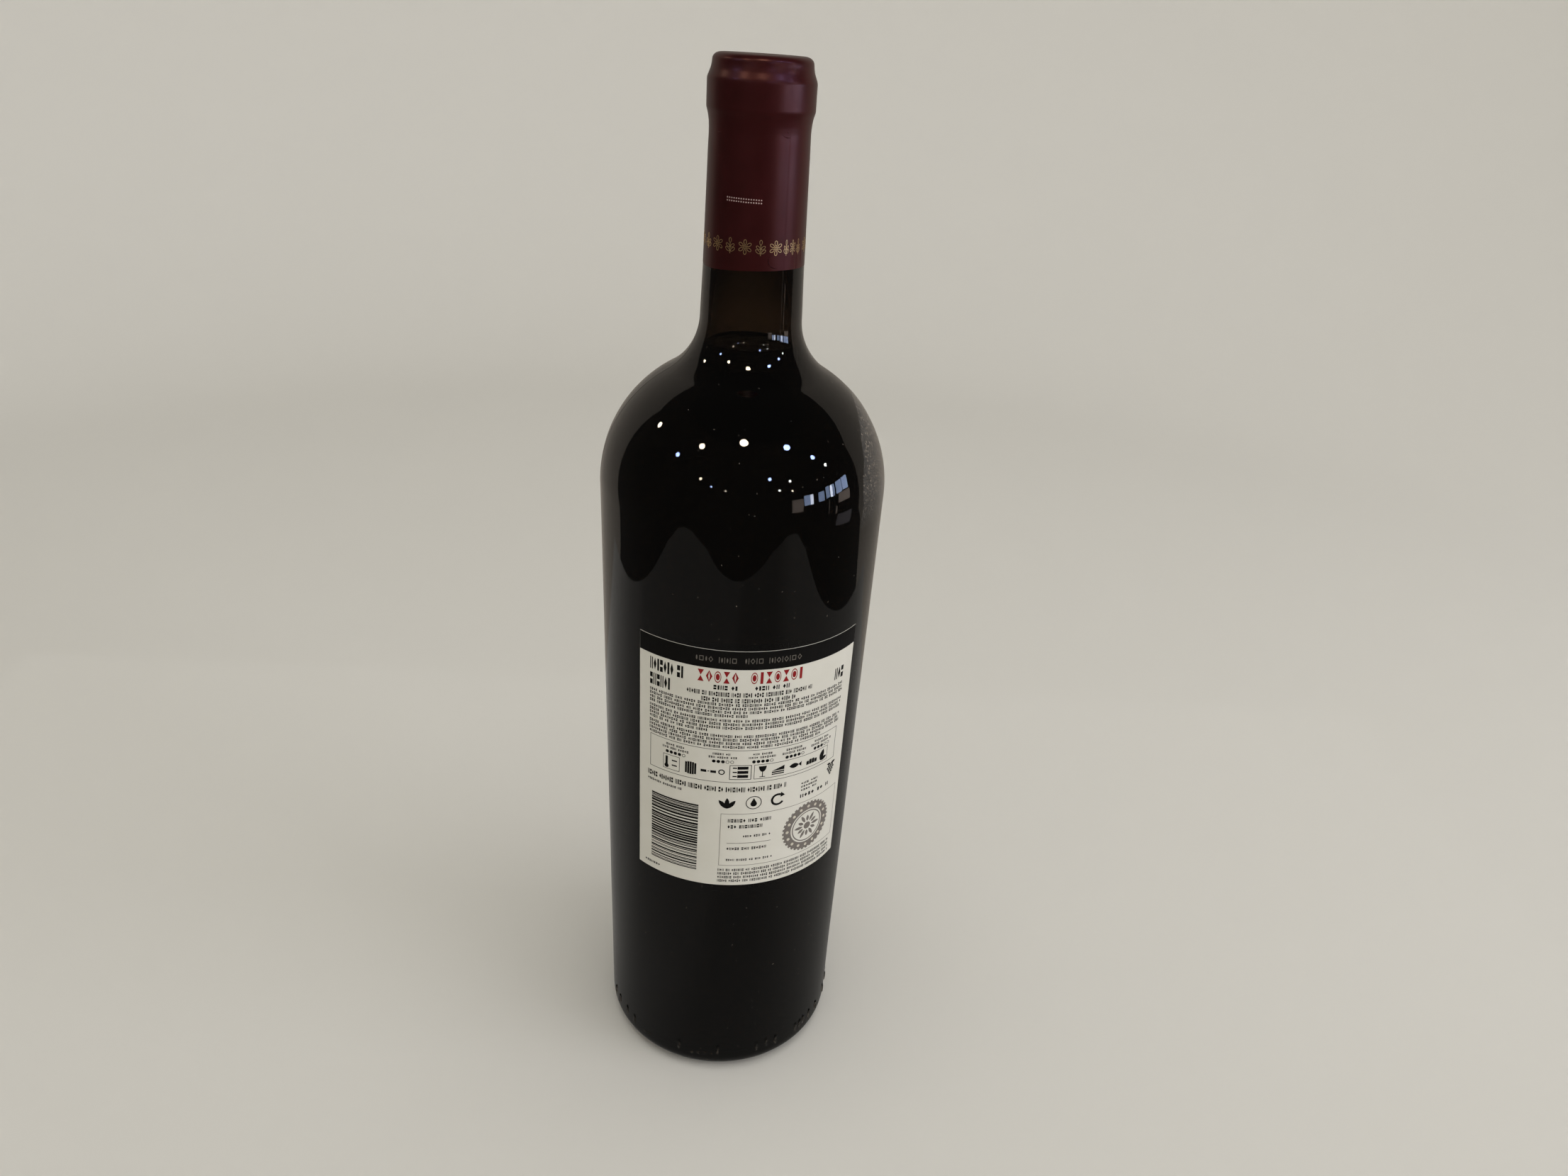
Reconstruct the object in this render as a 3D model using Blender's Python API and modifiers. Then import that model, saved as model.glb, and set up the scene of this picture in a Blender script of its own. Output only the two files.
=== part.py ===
"""A shut magnum wine bottle: dark glass, the wine in it, a burgundy capsule and two paper labels.

Run it with: blender --background --python part.py
Units are metres. The bottle stands on z = 0 with its axis on Z, and its back label faces -Y.
Every turned piece is an outline of (radius, height) points, swept round Z by a Screw modifier.
"""

import math

import bmesh
import bpy

MM = 0.001
GAP = 0.3 * MM  # air left between pieces that touch
FACES_ROUND = 48

# Outside of the glass
HEIGHT = 370.0 * MM
FOOT_RADIUS = 45.6 * MM
SHOULDER_RADIUS = 48.7 * MM
SHOULDER_HEIGHT = 237.8 * MM
SHOULDER_CURVE = 44.7 * MM
NECK_CURVE = 21.0 * MM
NECK_RADIUS = 16.58 * MM
HEEL_CURVE = 7.4 * MM
PUNT_RADIUS = 34.0 * MM
PUNT_HEIGHT = 25.0 * MM

# Inside of the glass
WALL = 3.7 * MM
FLOOR = 4.0 * MM
CORNER_CURVE = 4.0 * MM
BORE_RADIUS = 10.5 * MM
BORE_LOW = 318.0 * MM
MOUTH_RADIUS = 9.25 * MM
MOUTH_CHAMFER = 0.9 * MM
WINE_LEVEL = 284.7 * MM

# Capsule: its wall, then the edges of its outline as radius and height, from the lip to the hem
CAPSULE_WALL = 0.3 * MM
TOP_DISC_RADIUS = 12.3 * MM
LIP_CURVE = 2.0 * MM
LIP_RADIUS = 15.0 * MM
LIP_EDGE = (15.1 * MM, 366.9 * MM)
COLLAR = (15.4 * MM, 365.6 * MM)
RING_TOP_EDGE = (16.3 * MM, 363.4 * MM)
RING_HIGH = (16.38 * MM, 362.9 * MM)
RING_LOW = (16.38 * MM, 355.4 * MM)
RING_LOW_EDGE = (16.28 * MM, 354.9 * MM)
WAIST_HIGH = (15.85 * MM, 353.5 * MM)
WAIST_LOW = (15.52 * MM, 351.5 * MM)
SKIRT_HIGH = (15.4 * MM, 349.5 * MM)
HEM = (16.03 * MM, 311.2 * MM)
HEM_STEP = 0.1 * MM  # the glass under the hem is this much slimmer than the hem

# Labels, as width and height of the paper, its lower edge, and where its middle faces
PAPER = 0.2 * MM
BACK_LABEL = (83.4 * MM, 98.9 * MM, 98.0 * MM, -90.0)
FRONT_LABEL = (92.0 * MM, 104.9 * MM, 92.0 * MM, 90.0)
LABEL_COLUMNS = 20
LABEL_ROWS = 2

# Colours as sRGB hex, with roughness and metallic
GLASS_LOOK = ("#12110d", 0.05, 0.0)
WINE_LOOK = ("#1e0307", 0.10, 0.0)
CAPSULE_LOOK = ("#4a1519", 0.38, 0.1)
PAPER_LOOK = ("#ded9cc", 0.60, 0.0)


def arc(centre, radius, start, end, steps, height=None):
    """Points on an arc, by angles in degrees. height is the other half axis of an ellipse."""
    height = radius if height is None else height
    angles = [math.radians(start + (end - start) * i / steps) for i in range(steps + 1)]
    return [(centre[0] + radius * math.cos(a), centre[1] + height * math.sin(a)) for a in angles]


def body_radius(z):
    """The body widens evenly from its foot to its shoulder."""
    share = (z - HEEL_CURVE) / (SHOULDER_HEIGHT - HEEL_CURVE)
    return FOOT_RADIUS + (SHOULDER_RADIUS - FOOT_RADIUS) * share


def shoulder_centre():
    return SHOULDER_RADIUS - SHOULDER_CURVE, SHOULDER_HEIGHT


def neck_curve_centre():
    """The hollow curve under the neck touches the shoulder's round curve."""
    near_r, near_z = shoulder_centre()
    far_r = NECK_RADIUS + NECK_CURVE
    rise = math.sqrt((SHOULDER_CURVE + NECK_CURVE) ** 2 - (far_r - near_r) ** 2)
    return far_r, near_z + rise


def meeting_angle():
    """Angle on the shoulder's curve at which it turns into the neck's curve."""
    near, far = shoulder_centre(), neck_curve_centre()
    return math.degrees(math.atan2(far[1] - near[1], far[0] - near[0]))


def shoulder_and_neck(inset, steps):
    """From the neck down to the body, set back by inset from the outside of the glass."""
    meet = meeting_angle()
    down_neck = arc(neck_curve_centre(), NECK_CURVE + inset, 180.0, 180.0 + meet, steps - 2)
    down_shoulder = arc(shoulder_centre(), SHOULDER_CURVE - inset, meet, 0.0, steps)
    return down_neck + down_shoulder[1:]


def punt_centre():
    return 0.0, (PUNT_HEIGHT ** 2 - PUNT_RADIUS ** 2) / (2 * PUNT_HEIGHT)


def hollow_floor(inset):
    """From the inner wall down the corner and up over the punt to the axis."""
    dome_z = punt_centre()[1]
    dome = PUNT_HEIGHT - dome_z + FLOOR
    corner_r = FOOT_RADIUS - WALL - CORNER_CURVE
    reach = math.sqrt((dome + CORNER_CURVE) ** 2 - corner_r ** 2)
    lean = math.degrees(math.atan2(reach, corner_r))
    corner = arc((corner_r, dome_z + reach), CORNER_CURVE - inset, 0.0, lean - 180.0, 5)
    over = arc(punt_centre(), dome + inset, lean, 90.0, 4)
    return corner + over[1:-1] + [(0.0, dome_z + dome + inset)]


def capsule_outline():
    """From the top disc's middle over the lip and the ring down to the hem."""
    lip = arc((TOP_DISC_RADIUS, HEIGHT - LIP_CURVE), LIP_RADIUS - TOP_DISC_RADIUS, 90.0, 0.0, 4,
              height=LIP_CURVE)
    ring = [LIP_EDGE, COLLAR, RING_TOP_EDGE, RING_HIGH, RING_LOW, RING_LOW_EDGE]
    skirt = [WAIST_HIGH, WAIST_LOW, SKIRT_HIGH, HEM]
    return [(0.0, HEIGHT)] + lip + ring + skirt


def moved_in(outline, distance):
    """The same outline set back by distance, each point along the mean of its two normals."""
    directions = [math.atan2(q[1] - p[1], q[0] - p[0]) for p, q in zip(outline, outline[1:])]
    before = directions[:1] + directions
    after = directions + directions[-1:]
    moved = []
    for (r, z), one, two in zip(outline, before, after):
        turn, mean = (two - one) / 2, (one + two) / 2
        reach = distance / math.cos(turn)
        moved.append((max(r + reach * math.sin(mean), 0.0), z - reach * math.cos(mean)))
    return moved


def glass_outline():
    """The inside from the floor up to the mouth, then the outside down to the punt."""
    inside = shoulder_and_neck(WALL, 6) + hollow_floor(0.0)
    finish = moved_in(capsule_outline(), CAPSULE_WALL + GAP)[1:]
    mouth = finish[0][1]
    bore = [(BORE_RADIUS, BORE_LOW), (MOUTH_RADIUS, mouth - MOUTH_CHAMFER),
            (MOUTH_RADIUS + MOUTH_CHAMFER, mouth)]
    hem_r, hem_z = HEM
    step = [(finish[-1][0], hem_z - GAP), (hem_r - HEM_STEP, hem_z - 2 * GAP)]
    outside = shoulder_and_neck(0.0, 8)
    heel = arc((FOOT_RADIUS - HEEL_CURVE, HEEL_CURVE), HEEL_CURVE, 0.0, -90.0, 5)
    dome_z = punt_centre()[1]
    rim_angle = math.degrees(math.atan2(-dome_z, PUNT_RADIUS))
    punt = arc(punt_centre(), PUNT_HEIGHT - dome_z, rim_angle, 90.0, 6)
    return inside[::-1] + bore + finish[:-1] + step + outside + heel + punt[:-1] + [(0.0, PUNT_HEIGHT)]


def wine_outline():
    """The level surface, then down the glass at the gap's distance."""
    below = [p for p in shoulder_and_neck(WALL + GAP, 6) if p[1] < WINE_LEVEL]
    centre_r, centre_z = neck_curve_centre()
    across = math.sqrt((NECK_CURVE + WALL + GAP) ** 2 - (centre_z - WINE_LEVEL) ** 2)
    return [(0.0, WINE_LEVEL), (centre_r - across, WINE_LEVEL)] + below + hollow_floor(GAP)


def paint(part, look):
    """Gives the part a Principled material of its own."""
    colour, roughness, metallic = look
    channels = [int(colour[i:i + 2], 16) / 255 for i in (1, 3, 5)]
    linear = [c / 12.92 if c <= 0.04045 else ((c + 0.055) / 1.055) ** 2.4 for c in channels]
    material = bpy.data.materials.new(part.name)
    material.use_nodes = True
    shader = material.node_tree.nodes["Principled BSDF"]
    shader.inputs["Base Color"].default_value = (*linear, 1.0)
    shader.inputs["Roughness"].default_value = roughness
    shader.inputs["Metallic"].default_value = metallic
    part.data.materials.append(material)


def new_part(name, mesh, look, collection):
    part = bpy.data.objects.new(name, mesh)
    collection.objects.link(part)
    paint(part, look)
    return part


def turned(name, outline, look, collection):
    """An outline of (radius, height) points as a mesh of edges, turned once round Z."""
    mesh = bpy.data.meshes.new(name)
    edges = [(i, i + 1) for i in range(len(outline) - 1)]
    mesh.from_pydata([(r, 0.0, z) for r, z in outline], edges, [])
    part = new_part(name, mesh, look, collection)
    screw = part.modifiers.new("turn", "SCREW")
    screw.axis = "Z"
    screw.steps = FACES_ROUND
    screw.render_steps = FACES_ROUND
    screw.use_merge_vertices = True
    screw.merge_threshold = 0.00001
    screw.use_smooth_shade = True
    return part


def thicken(part, thickness, offset):
    wall = part.modifiers.new("wall", "SOLIDIFY")
    wall.thickness = thickness
    wall.offset = offset
    wall.use_even_offset = True


def label(name, paper, look, collection):
    """A rectangle of paper wrapped on the body, a gap away from the glass."""
    width, height, low, facing = paper
    grid = bmesh.new()
    bmesh.ops.create_grid(grid, x_segments=LABEL_COLUMNS, y_segments=LABEL_ROWS, size=0.5)
    for vertex in grid.verts:
        z = low + (vertex.co.y + 0.5) * height
        radius = body_radius(z) + GAP
        angle = math.radians(facing) + vertex.co.x * width / radius
        vertex.co = (radius * math.cos(angle), radius * math.sin(angle), z)
    bmesh.ops.recalc_face_normals(grid, faces=grid.faces)
    mesh = bpy.data.meshes.new(name)
    grid.to_mesh(mesh)
    grid.free()
    part = new_part(name, mesh, look, collection)
    outward = mesh.polygons[0].normal.dot(mesh.polygons[0].center) > 0
    thicken(part, PAPER, 1.0 if outward else -1.0)
    return part


def main():
    for thing in list(bpy.data.objects):
        bpy.data.objects.remove(thing, do_unlink=True)
    bottle = bpy.data.collections.new("magnum_wine_bottle")
    bpy.context.scene.collection.children.link(bottle)
    turned("glass_bottle", glass_outline(), GLASS_LOOK, bottle)
    turned("wine", wine_outline(), WINE_LOOK, bottle)
    capsule = turned("capsule", capsule_outline(), CAPSULE_LOOK, bottle)
    thicken(capsule, CAPSULE_WALL, -1.0)
    label("back_label", BACK_LABEL, PAPER_LOOK, bottle)
    label("front_label", FRONT_LABEL, PAPER_LOOK, bottle)


main()
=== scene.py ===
import math
import random

import bmesh
import bpy
from mathutils import Matrix, Vector, noise


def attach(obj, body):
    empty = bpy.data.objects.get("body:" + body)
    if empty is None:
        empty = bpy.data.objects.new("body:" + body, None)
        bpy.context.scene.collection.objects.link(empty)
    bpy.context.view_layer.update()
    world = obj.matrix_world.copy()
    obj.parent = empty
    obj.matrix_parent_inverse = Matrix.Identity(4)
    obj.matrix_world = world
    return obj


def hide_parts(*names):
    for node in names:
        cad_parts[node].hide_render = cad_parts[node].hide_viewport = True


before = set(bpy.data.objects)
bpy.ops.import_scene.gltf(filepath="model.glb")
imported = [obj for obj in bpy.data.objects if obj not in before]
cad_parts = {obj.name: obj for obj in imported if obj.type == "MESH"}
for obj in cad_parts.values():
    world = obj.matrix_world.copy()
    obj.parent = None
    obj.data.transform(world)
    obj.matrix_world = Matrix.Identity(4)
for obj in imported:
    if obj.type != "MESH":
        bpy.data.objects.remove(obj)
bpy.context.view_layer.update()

# Sizes are in millimetres, and a mesh is made in metres. The bottle stands on z = 0 with its axis on
# Z, and its back label faces -Y. Every turn is in degrees, from +X anticlockwise seen from above.
MM = 0.001
VIEWER_TURN = -98.5  # the side of the bottle that faces the camera

# Outside of the glass
HEIGHT = 370.0
FOOT_RADIUS = 45.6
SHOULDER_RADIUS = 48.7
SHOULDER_HEIGHT = 237.8
SHOULDER_CURVE = 44.7
NECK_CURVE = 21.0
NECK_RADIUS = 16.58
HEEL_CURVE = 7.4
PUNT_RADIUS = 34.0
PUNT_HEIGHT = 25.0

# Inside of the glass, and the wine
WALL = 3.7
FLOOR = 4.0
CORNER_CURVE = 4.0
BORE_RADIUS = 10.5
BORE_LOW = 318.0
MOUTH_RADIUS = 9.25
MOUTH_CHAMFER = 0.9
WINE_LEVEL = 284.7
MENISCUS = 1.3
MENISCUS_REACH = 0.9
INTO_WALL = 0.05  # the wine reaches this far into the glass, so that no air shows between them
WINE_COLUMNS = 128

# The glass surface
GLASS_COLUMNS = 192
GLASS_WAVE = 0.045  # blown glass is a little uneven
GLASS_WAVE_LENGTHS = (26.0, 9.0)
SHORT_WAVE_SHARE = 0.35
WAVES_FROM = (12.0, 40.0)  # the waves set in between these heights above the foot
WAVES_TO = (290.0, 308.0)  # and end between these on the neck
SEAM_TURNS = (0.0, 180.0)  # where the two halves of the mould met
SEAM_STEPS = (-0.6, -0.3, 0.0, 0.3, 0.6)  # turns of the columns that draw a seam
SEAM_WIDTH = 0.25
SEAM_RISE = 0.10
SEAM_FROM = (3.0, 9.0)
SEAM_TO = (300.0, 309.0)

# Capsule: its wall, then its outline's edges as radius and height, from the lip to the hem
CAPSULE_WALL = 0.1
CAPSULE_GAP = 0.06  # between the lining and the glass
CAPSULE_COLUMNS = 320
CAPSULE_SPACING = 0.37
TOP_DISC_RADIUS = 12.3
LIP_CURVE = 2.0
LIP_RADIUS = 15.0
CAPSULE_EDGES = (
    (15.1, 366.9), (15.4, 365.6), (16.3, 363.4), (16.38, 362.9), (16.38, 355.4), (16.28, 354.9),
    (15.85, 353.5), (15.52, 351.5), (15.4, 349.5), (16.03, 311.2),
)
HEM_HEIGHT = 311.2
HEM_SAG = 1.15  # the hem hangs this much lower on one side
HEM_SAG_TURN = -160.0
HEM_WOBBLE = 0.12
HEM_ZONE = 7.0
OVERLAP_TURN = -64.0  # the edge of the sleeve's glued lap
OVERLAP_RISE = 0.07
DENT_HEIGHT = 348.5  # where the foil was drawn in under the ring
DENT_DEPTH = 0.05

# Labels: width, height, lower edge, and the turn that the middle faces
BACK_LABEL = (83.4, 98.9, 98.0, -90.0)
FRONT_LABEL = (92.0, 104.9, 92.0, 90.0)
BAND_HEIGHT = 7.0
COLUMN_STEP = 1.5  # flat work is cut this fine before it is bent

# The two faces of flat work, as its lift from the glass or the foil
PAPER = (-0.03, 0.10)
INK = (0.08, 0.125)
ON_INK = (0.12, 0.15)
STAMP = (0.01, 0.035)


# Colours and nodes

def linear(colour):
    """An sRGB hex colour as linear red, green, blue and alpha."""
    channels = [int(colour[i:i + 2], 16) / 255 for i in (1, 3, 5)]
    return [c / 12.92 if c <= 0.04045 else ((c + 0.055) / 1.055) ** 2.4 for c in channels] + [1.0]


def feed(tree, node, inputs):
    """Gives a node's sockets, by name or in order, a value, an output, or a node for its first one."""
    for socket, value in inputs.items() if isinstance(inputs, dict) else enumerate(inputs):
        if isinstance(value, bpy.types.Node):
            value = value.outputs[0]
        if isinstance(value, bpy.types.NodeSocket):
            tree.links.new(value, node.inputs[socket])
        else:
            node.inputs[socket].default_value = value


def add(tree, kind, settings=None, inputs=()):
    """Adds a node with its settings and what its sockets are fed."""
    node = tree.nodes.new(kind)
    for name, value in (settings or {}).items():
        setattr(node, name, value)
    feed(tree, node, inputs)
    return node


# Kinds of node and settings that come up often. A range takes value, start, end, low and high.
MATHS, VECTOR_MATHS, RANGE = "ShaderNodeMath", "ShaderNodeVectorMath", "ShaderNodeMapRange"
SEPARATE, COMBINE = "ShaderNodeSeparateXYZ", "ShaderNodeCombineXYZ"
PLACE, CLOUDS, BUMP = "ShaderNodeTexCoord", "ShaderNodeTexNoise", "ShaderNodeBump"
PLUS, MINUS = {"operation": "ADD"}, {"operation": "SUBTRACT"}
TIMES, OVER = {"operation": "MULTIPLY"}, {"operation": "DIVIDE"}
TIMES_PLUS, SCALED = {"operation": "MULTIPLY_ADD"}, {"operation": "SCALE"}
SMOOTH = {"interpolation_type": "SMOOTHSTEP"}
COLOURS = {"data_type": "RGBA"}  # a mix with these takes its share at 0 and its colours at 6 and 7
OWN_PLACE = {"transform_space": "ORIGINAL"}


def plain(name, colour, roughness, metallic=0.0, **more):
    """A material with a Principled shader and nothing linked, with its tree and its shader."""
    material = bpy.data.materials.new(name)
    material.use_nodes = True
    tree = material.node_tree
    shader = tree.nodes["Principled BSDF"]
    more = {socket.replace("_", " "): value for socket, value in more.items()}
    feed(tree, shader, {"Base Color": linear(colour), "Roughness": roughness, "Metallic": metallic,
                        **more})
    return material, tree, shader


# Outlines

SHOULDER_CENTRE = (SHOULDER_RADIUS - SHOULDER_CURVE, SHOULDER_HEIGHT)
# The hollow curve under the neck touches the shoulder's round curve
NECK_CENTRE_RADIUS = NECK_RADIUS + NECK_CURVE
NECK_CENTRE = (NECK_CENTRE_RADIUS, SHOULDER_HEIGHT + math.sqrt(
    (SHOULDER_CURVE + NECK_CURVE) ** 2 - (NECK_CENTRE_RADIUS - SHOULDER_CENTRE[0]) ** 2))
PUNT_CENTRE = (0.0, (PUNT_HEIGHT ** 2 - PUNT_RADIUS ** 2) / (2 * PUNT_HEIGHT))


def polar(radius, turn, x=0.0, y=0.0):
    """The point at this radius and turn round x, y."""
    angle = math.radians(turn)
    return x + radius * math.cos(angle), y + radius * math.sin(angle)


def arc(centre, radius, start, end, steps, height=None):
    """Points on an arc, by angles in degrees. height is the other half axis of an ellipse."""
    height = radius if height is None else height
    angles = [math.radians(start + (end - start) * i / steps) for i in range(steps + 1)]
    return [(centre[0] + radius * math.cos(a), centre[1] + height * math.sin(a)) for a in angles]


def body_radius(z):
    """The body widens evenly from its foot to its shoulder."""
    share = (z - HEEL_CURVE) / (SHOULDER_HEIGHT - HEEL_CURVE)
    return FOOT_RADIUS + (SHOULDER_RADIUS - FOOT_RADIUS) * share


def shoulder_and_neck(inset, steps):
    """From the neck down to the body, set back by inset from the outside of the glass."""
    near, far = SHOULDER_CENTRE, NECK_CENTRE
    meet = math.degrees(math.atan2(far[1] - near[1], far[0] - near[0]))
    down_neck = arc(far, NECK_CURVE + inset, 180.0, 180.0 + meet, steps)
    down_shoulder = arc(near, SHOULDER_CURVE - inset, meet, 0.0, steps)
    return down_neck + down_shoulder[1:]


def hollow_floor(outset):
    """From the inner wall down the corner and up over the punt to the axis."""
    dome_z = PUNT_CENTRE[1]
    dome = PUNT_HEIGHT - dome_z + FLOOR
    corner_r = FOOT_RADIUS - WALL - CORNER_CURVE
    reach = math.sqrt((dome + CORNER_CURVE) ** 2 - corner_r ** 2)
    lean = math.degrees(math.atan2(reach, corner_r))
    corner = arc((corner_r, dome_z + reach), CORNER_CURVE + outset, 0.0, lean - 180.0, 14)
    over = arc(PUNT_CENTRE, dome - outset, lean, 90.0, 14)
    return corner + over[1:-1] + [(0.0, dome_z + dome - outset)]


def resampled(points, spacing):
    """The same line with points at an even spacing."""
    lengths = [math.dist(p, q) for p, q in zip(points, points[1:])]
    count = round(sum(lengths) / spacing)
    made, walked, leg = [], 0.0, 0
    for i in range(count):
        place = sum(lengths) * i / count
        while place > walked + lengths[leg]:
            walked += lengths[leg]
            leg += 1
        share = (place - walked) / lengths[leg]
        (r0, z0), (r1, z1) = points[leg], points[leg + 1]
        made.append((r0 + (r1 - r0) * share, z0 + (z1 - z0) * share))
    return made + [points[-1]]


def softened(points):
    """Rounds off the corners of an evenly spaced line, and keeps its ends."""
    inner = [((p[0] + 2 * q[0] + r[0]) / 4, (p[1] + 2 * q[1] + r[1]) / 4)
             for p, q, r in zip(points, points[1:], points[2:])]
    return points[:1] + inner + points[-1:]


def moved_in(outline, distance):
    """The same outline set back by distance, each point along the mean of its two normals."""
    directions = [math.atan2(q[1] - p[1], q[0] - p[0]) for p, q in zip(outline, outline[1:])]
    before = directions[:1] + directions
    after = directions + directions[-1:]
    moved = []
    for (r, z), one, two in zip(outline, before, after):
        turn, mean = (two - one) / 2, (one + two) / 2
        reach = distance / math.cos(turn)
        moved.append((max(r + reach * math.sin(mean), 0.0), z - reach * math.cos(mean)))
    return moved


def capsule_outline():
    """From the top disc's middle over the lip and the ring down to the hem."""
    lip = arc((TOP_DISC_RADIUS, HEIGHT - LIP_CURVE), LIP_RADIUS - TOP_DISC_RADIUS, 90.0, 0.0, 12,
              height=LIP_CURVE)
    return softened(resampled([(0.0, HEIGHT)] + lip + list(CAPSULE_EDGES), CAPSULE_SPACING))


def glass_inside():
    """From the floor's middle up the hollow and the bore to the mouth's edge."""
    up_hollow = (shoulder_and_neck(WALL, 20) + hollow_floor(0.0))[::-1]
    mouth = HEIGHT - CAPSULE_WALL
    bore = [(BORE_RADIUS, BORE_LOW), (MOUTH_RADIUS, mouth - MOUTH_CHAMFER),
            (MOUTH_RADIUS + MOUTH_CHAMFER, mouth)]
    return up_hollow + bore


def glass_outside():
    """From under the capsule down the neck and the body, round the heel and up the punt."""
    finish = [p for p in moved_in(capsule_outline(), CAPSULE_WALL)
              if p[0] > MOUTH_RADIUS + MOUTH_CHAMFER + 0.2][::2]
    down = shoulder_and_neck(0.0, 32)
    low, rows = HEEL_CURVE + 2.0, 44
    heights = [SHOULDER_HEIGHT + (low - SHOULDER_HEIGHT) * i / rows for i in range(1, rows + 1)]
    body = [(body_radius(z), z) for z in heights]
    heel = arc((FOOT_RADIUS - HEEL_CURVE, HEEL_CURVE), HEEL_CURVE, 0.0, -90.0, 14)
    rim = math.degrees(math.atan2(-PUNT_CENTRE[1], PUNT_RADIUS))
    punt = arc(PUNT_CENTRE, PUNT_HEIGHT - PUNT_CENTRE[1], rim, 90.0, 18)
    return finish + down + body + heel + punt[:-1] + [(0.0, PUNT_HEIGHT)]


def wine_outline():
    """The level surface, its rise at the wall, then down the glass and over the punt."""
    below = [p for p in shoulder_and_neck(WALL - INTO_WALL, 20) if p[1] < WINE_LEVEL]
    edge = WINE_LEVEL + MENISCUS
    centre_r, centre_z = NECK_CENTRE
    edge_r = centre_r - math.sqrt((NECK_CURVE + WALL - INTO_WALL) ** 2 - (centre_z - edge) ** 2)
    level = [(edge_r * share, WINE_LEVEL) for share in (0.0, 0.35, 0.7)]
    for out in (3.0, 2.2, 1.6, 1.1, 0.7, 0.35, 0.0):
        level.append((edge_r - out, WINE_LEVEL + MENISCUS * math.exp(-out / MENISCUS_REACH)))
    return level + below + hollow_floor(INTO_WALL)


# Shapes of the turned pieces

def bump(distance, width):
    """A soft hill of height 1 round zero."""
    return math.exp(-(distance / width) ** 2)


def turn_between(turn, other):
    """How far a turn is from another one, from -180 to 180 degrees."""
    return (turn - other + 180.0) % 360.0 - 180.0


def step_up(value, start, end):
    """0 before start, 1 after end, and a soft rise between them."""
    share = min(max((value - start) / (end - start), 0.0), 1.0)
    return share * share * (3 - 2 * share)


def blown_glass(r, z, turn):
    """The outside of the glass: slow waves, and the seam that the mould leaves on either side."""
    if z <= 9.0 or r <= NECK_RADIUS - 1.0:
        return r, z
    place = Vector((*polar(r, turn), z))
    calm = step_up(z, *WAVES_FROM) * (1.0 - step_up(z, *WAVES_TO))
    long_wave, short_wave = (noise.noise(place / length) for length in GLASS_WAVE_LENGTHS)
    wave = long_wave + SHORT_WAVE_SHARE * short_wave
    seam = max(bump(turn_between(turn, there) * r * math.pi / 180, SEAM_WIDTH)
               for there in SEAM_TURNS)
    seam *= step_up(z, *SEAM_FROM) * (1.0 - step_up(z, *SEAM_TO))
    inset = GLASS_WAVE * (wave - 1.0) * calm
    return min(r + inset, r) + SEAM_RISE * (seam - 1.0) * calm, z


def top_emboss(r, turn):
    """Two rings and a rosette of eight petals pressed into the capsule's top disc."""
    petals = 0.5 + 0.5 * math.cos(math.radians(8 * turn))
    rosette = petals * step_up(r, 0.8, 2.2) * (1.0 - step_up(r, 5.2 + 0.8 * petals, 6.6))
    return 0.14 * bump(r - 8.4, 0.4) + 0.12 * rosette + 0.10 * bump(r - 11.4, 0.3)


def pleats():
    """Small folds above the hem, as turn, width in degrees, depth and height."""
    chance = random.Random(7)
    made = [(-45.5, 1.2, 0.10, 9.0), (-52.0, 0.9, 0.06, 5.0), (-121.0, 1.6, 0.04, 4.0)]
    for _ in range(9):
        made.append((chance.uniform(-30.0, 190.0), chance.uniform(0.8, 1.8),
                     chance.uniform(0.03, 0.09), chance.uniform(3.0, 9.0)))
    return made


PLEATS = pleats()


def shrunk_foil(r, z, turn):
    """The capsule's sleeve: lap, uneven hem, folds above it and dents below the ring."""
    if z > HEIGHT - LIP_CURVE and r < TOP_DISC_RADIUS:
        return r, z - top_emboss(r, turn)
    place = Vector((*polar(r, turn), z))
    above = z - HEM_HEIGHT
    past_edge = turn_between(turn, OVERLAP_TURN)
    lap = step_up(past_edge, 0.0, 1.4) * (1 - step_up(past_edge, 4.0, 60.0))
    inset = 0.05 - OVERLAP_RISE * lap * (1 - step_up(z, 347.0, 352.0))
    for there, width, depth, height in PLEATS:
        inset += depth * bump(turn_between(turn, there), width) * (1 - step_up(above, 0.5, height))
    dents = noise.noise(place / 6.0) * bump(z - DENT_HEIGHT, 4.0)
    inset += DENT_DEPTH * dents + 0.02 * noise.noise(place / 14.0)
    sag = ((1 + math.cos(math.radians(turn - HEM_SAG_TURN))) / 2) ** 6
    wobble = HEM_WOBBLE * noise.noise(place / 9.0)
    drop = (HEM_SAG * sag - wobble) * step_up(HEM_ZONE - above, 0.0, HEM_ZONE)
    inset -= 0.02 * drop
    return r - inset, z - drop


def placed(name, data, material=None):
    """Puts a mesh, a lamp or a camera in the scene."""
    piece = bpy.data.objects.new(name, data)
    bpy.context.scene.collection.objects.link(piece)
    if material is not None:
        data.materials.append(material)
    return piece


def ended(name, solid, material=None):
    """Ends mesh work as a piece."""
    mesh = bpy.data.meshes.new(name)
    solid.to_mesh(mesh)
    solid.free()
    return placed(name, mesh, material)


def faced_outwards(solid):
    """Turns every face outwards. That starts from the faces' own normals, so they are made first."""
    solid.normal_update()
    bmesh.ops.recalc_face_normals(solid, faces=solid.faces)


def smoothed(piece, angle=None):
    """Shades a piece smoothly, except across edges sharper than this angle."""
    for face in piece.data.polygons:
        face.use_smooth = True
    if angle is not None:
        piece.data.set_sharp_from_angle(angle=math.radians(angle))


def even_turns(count):
    return [360.0 * i / count for i in range(count)]


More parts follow.
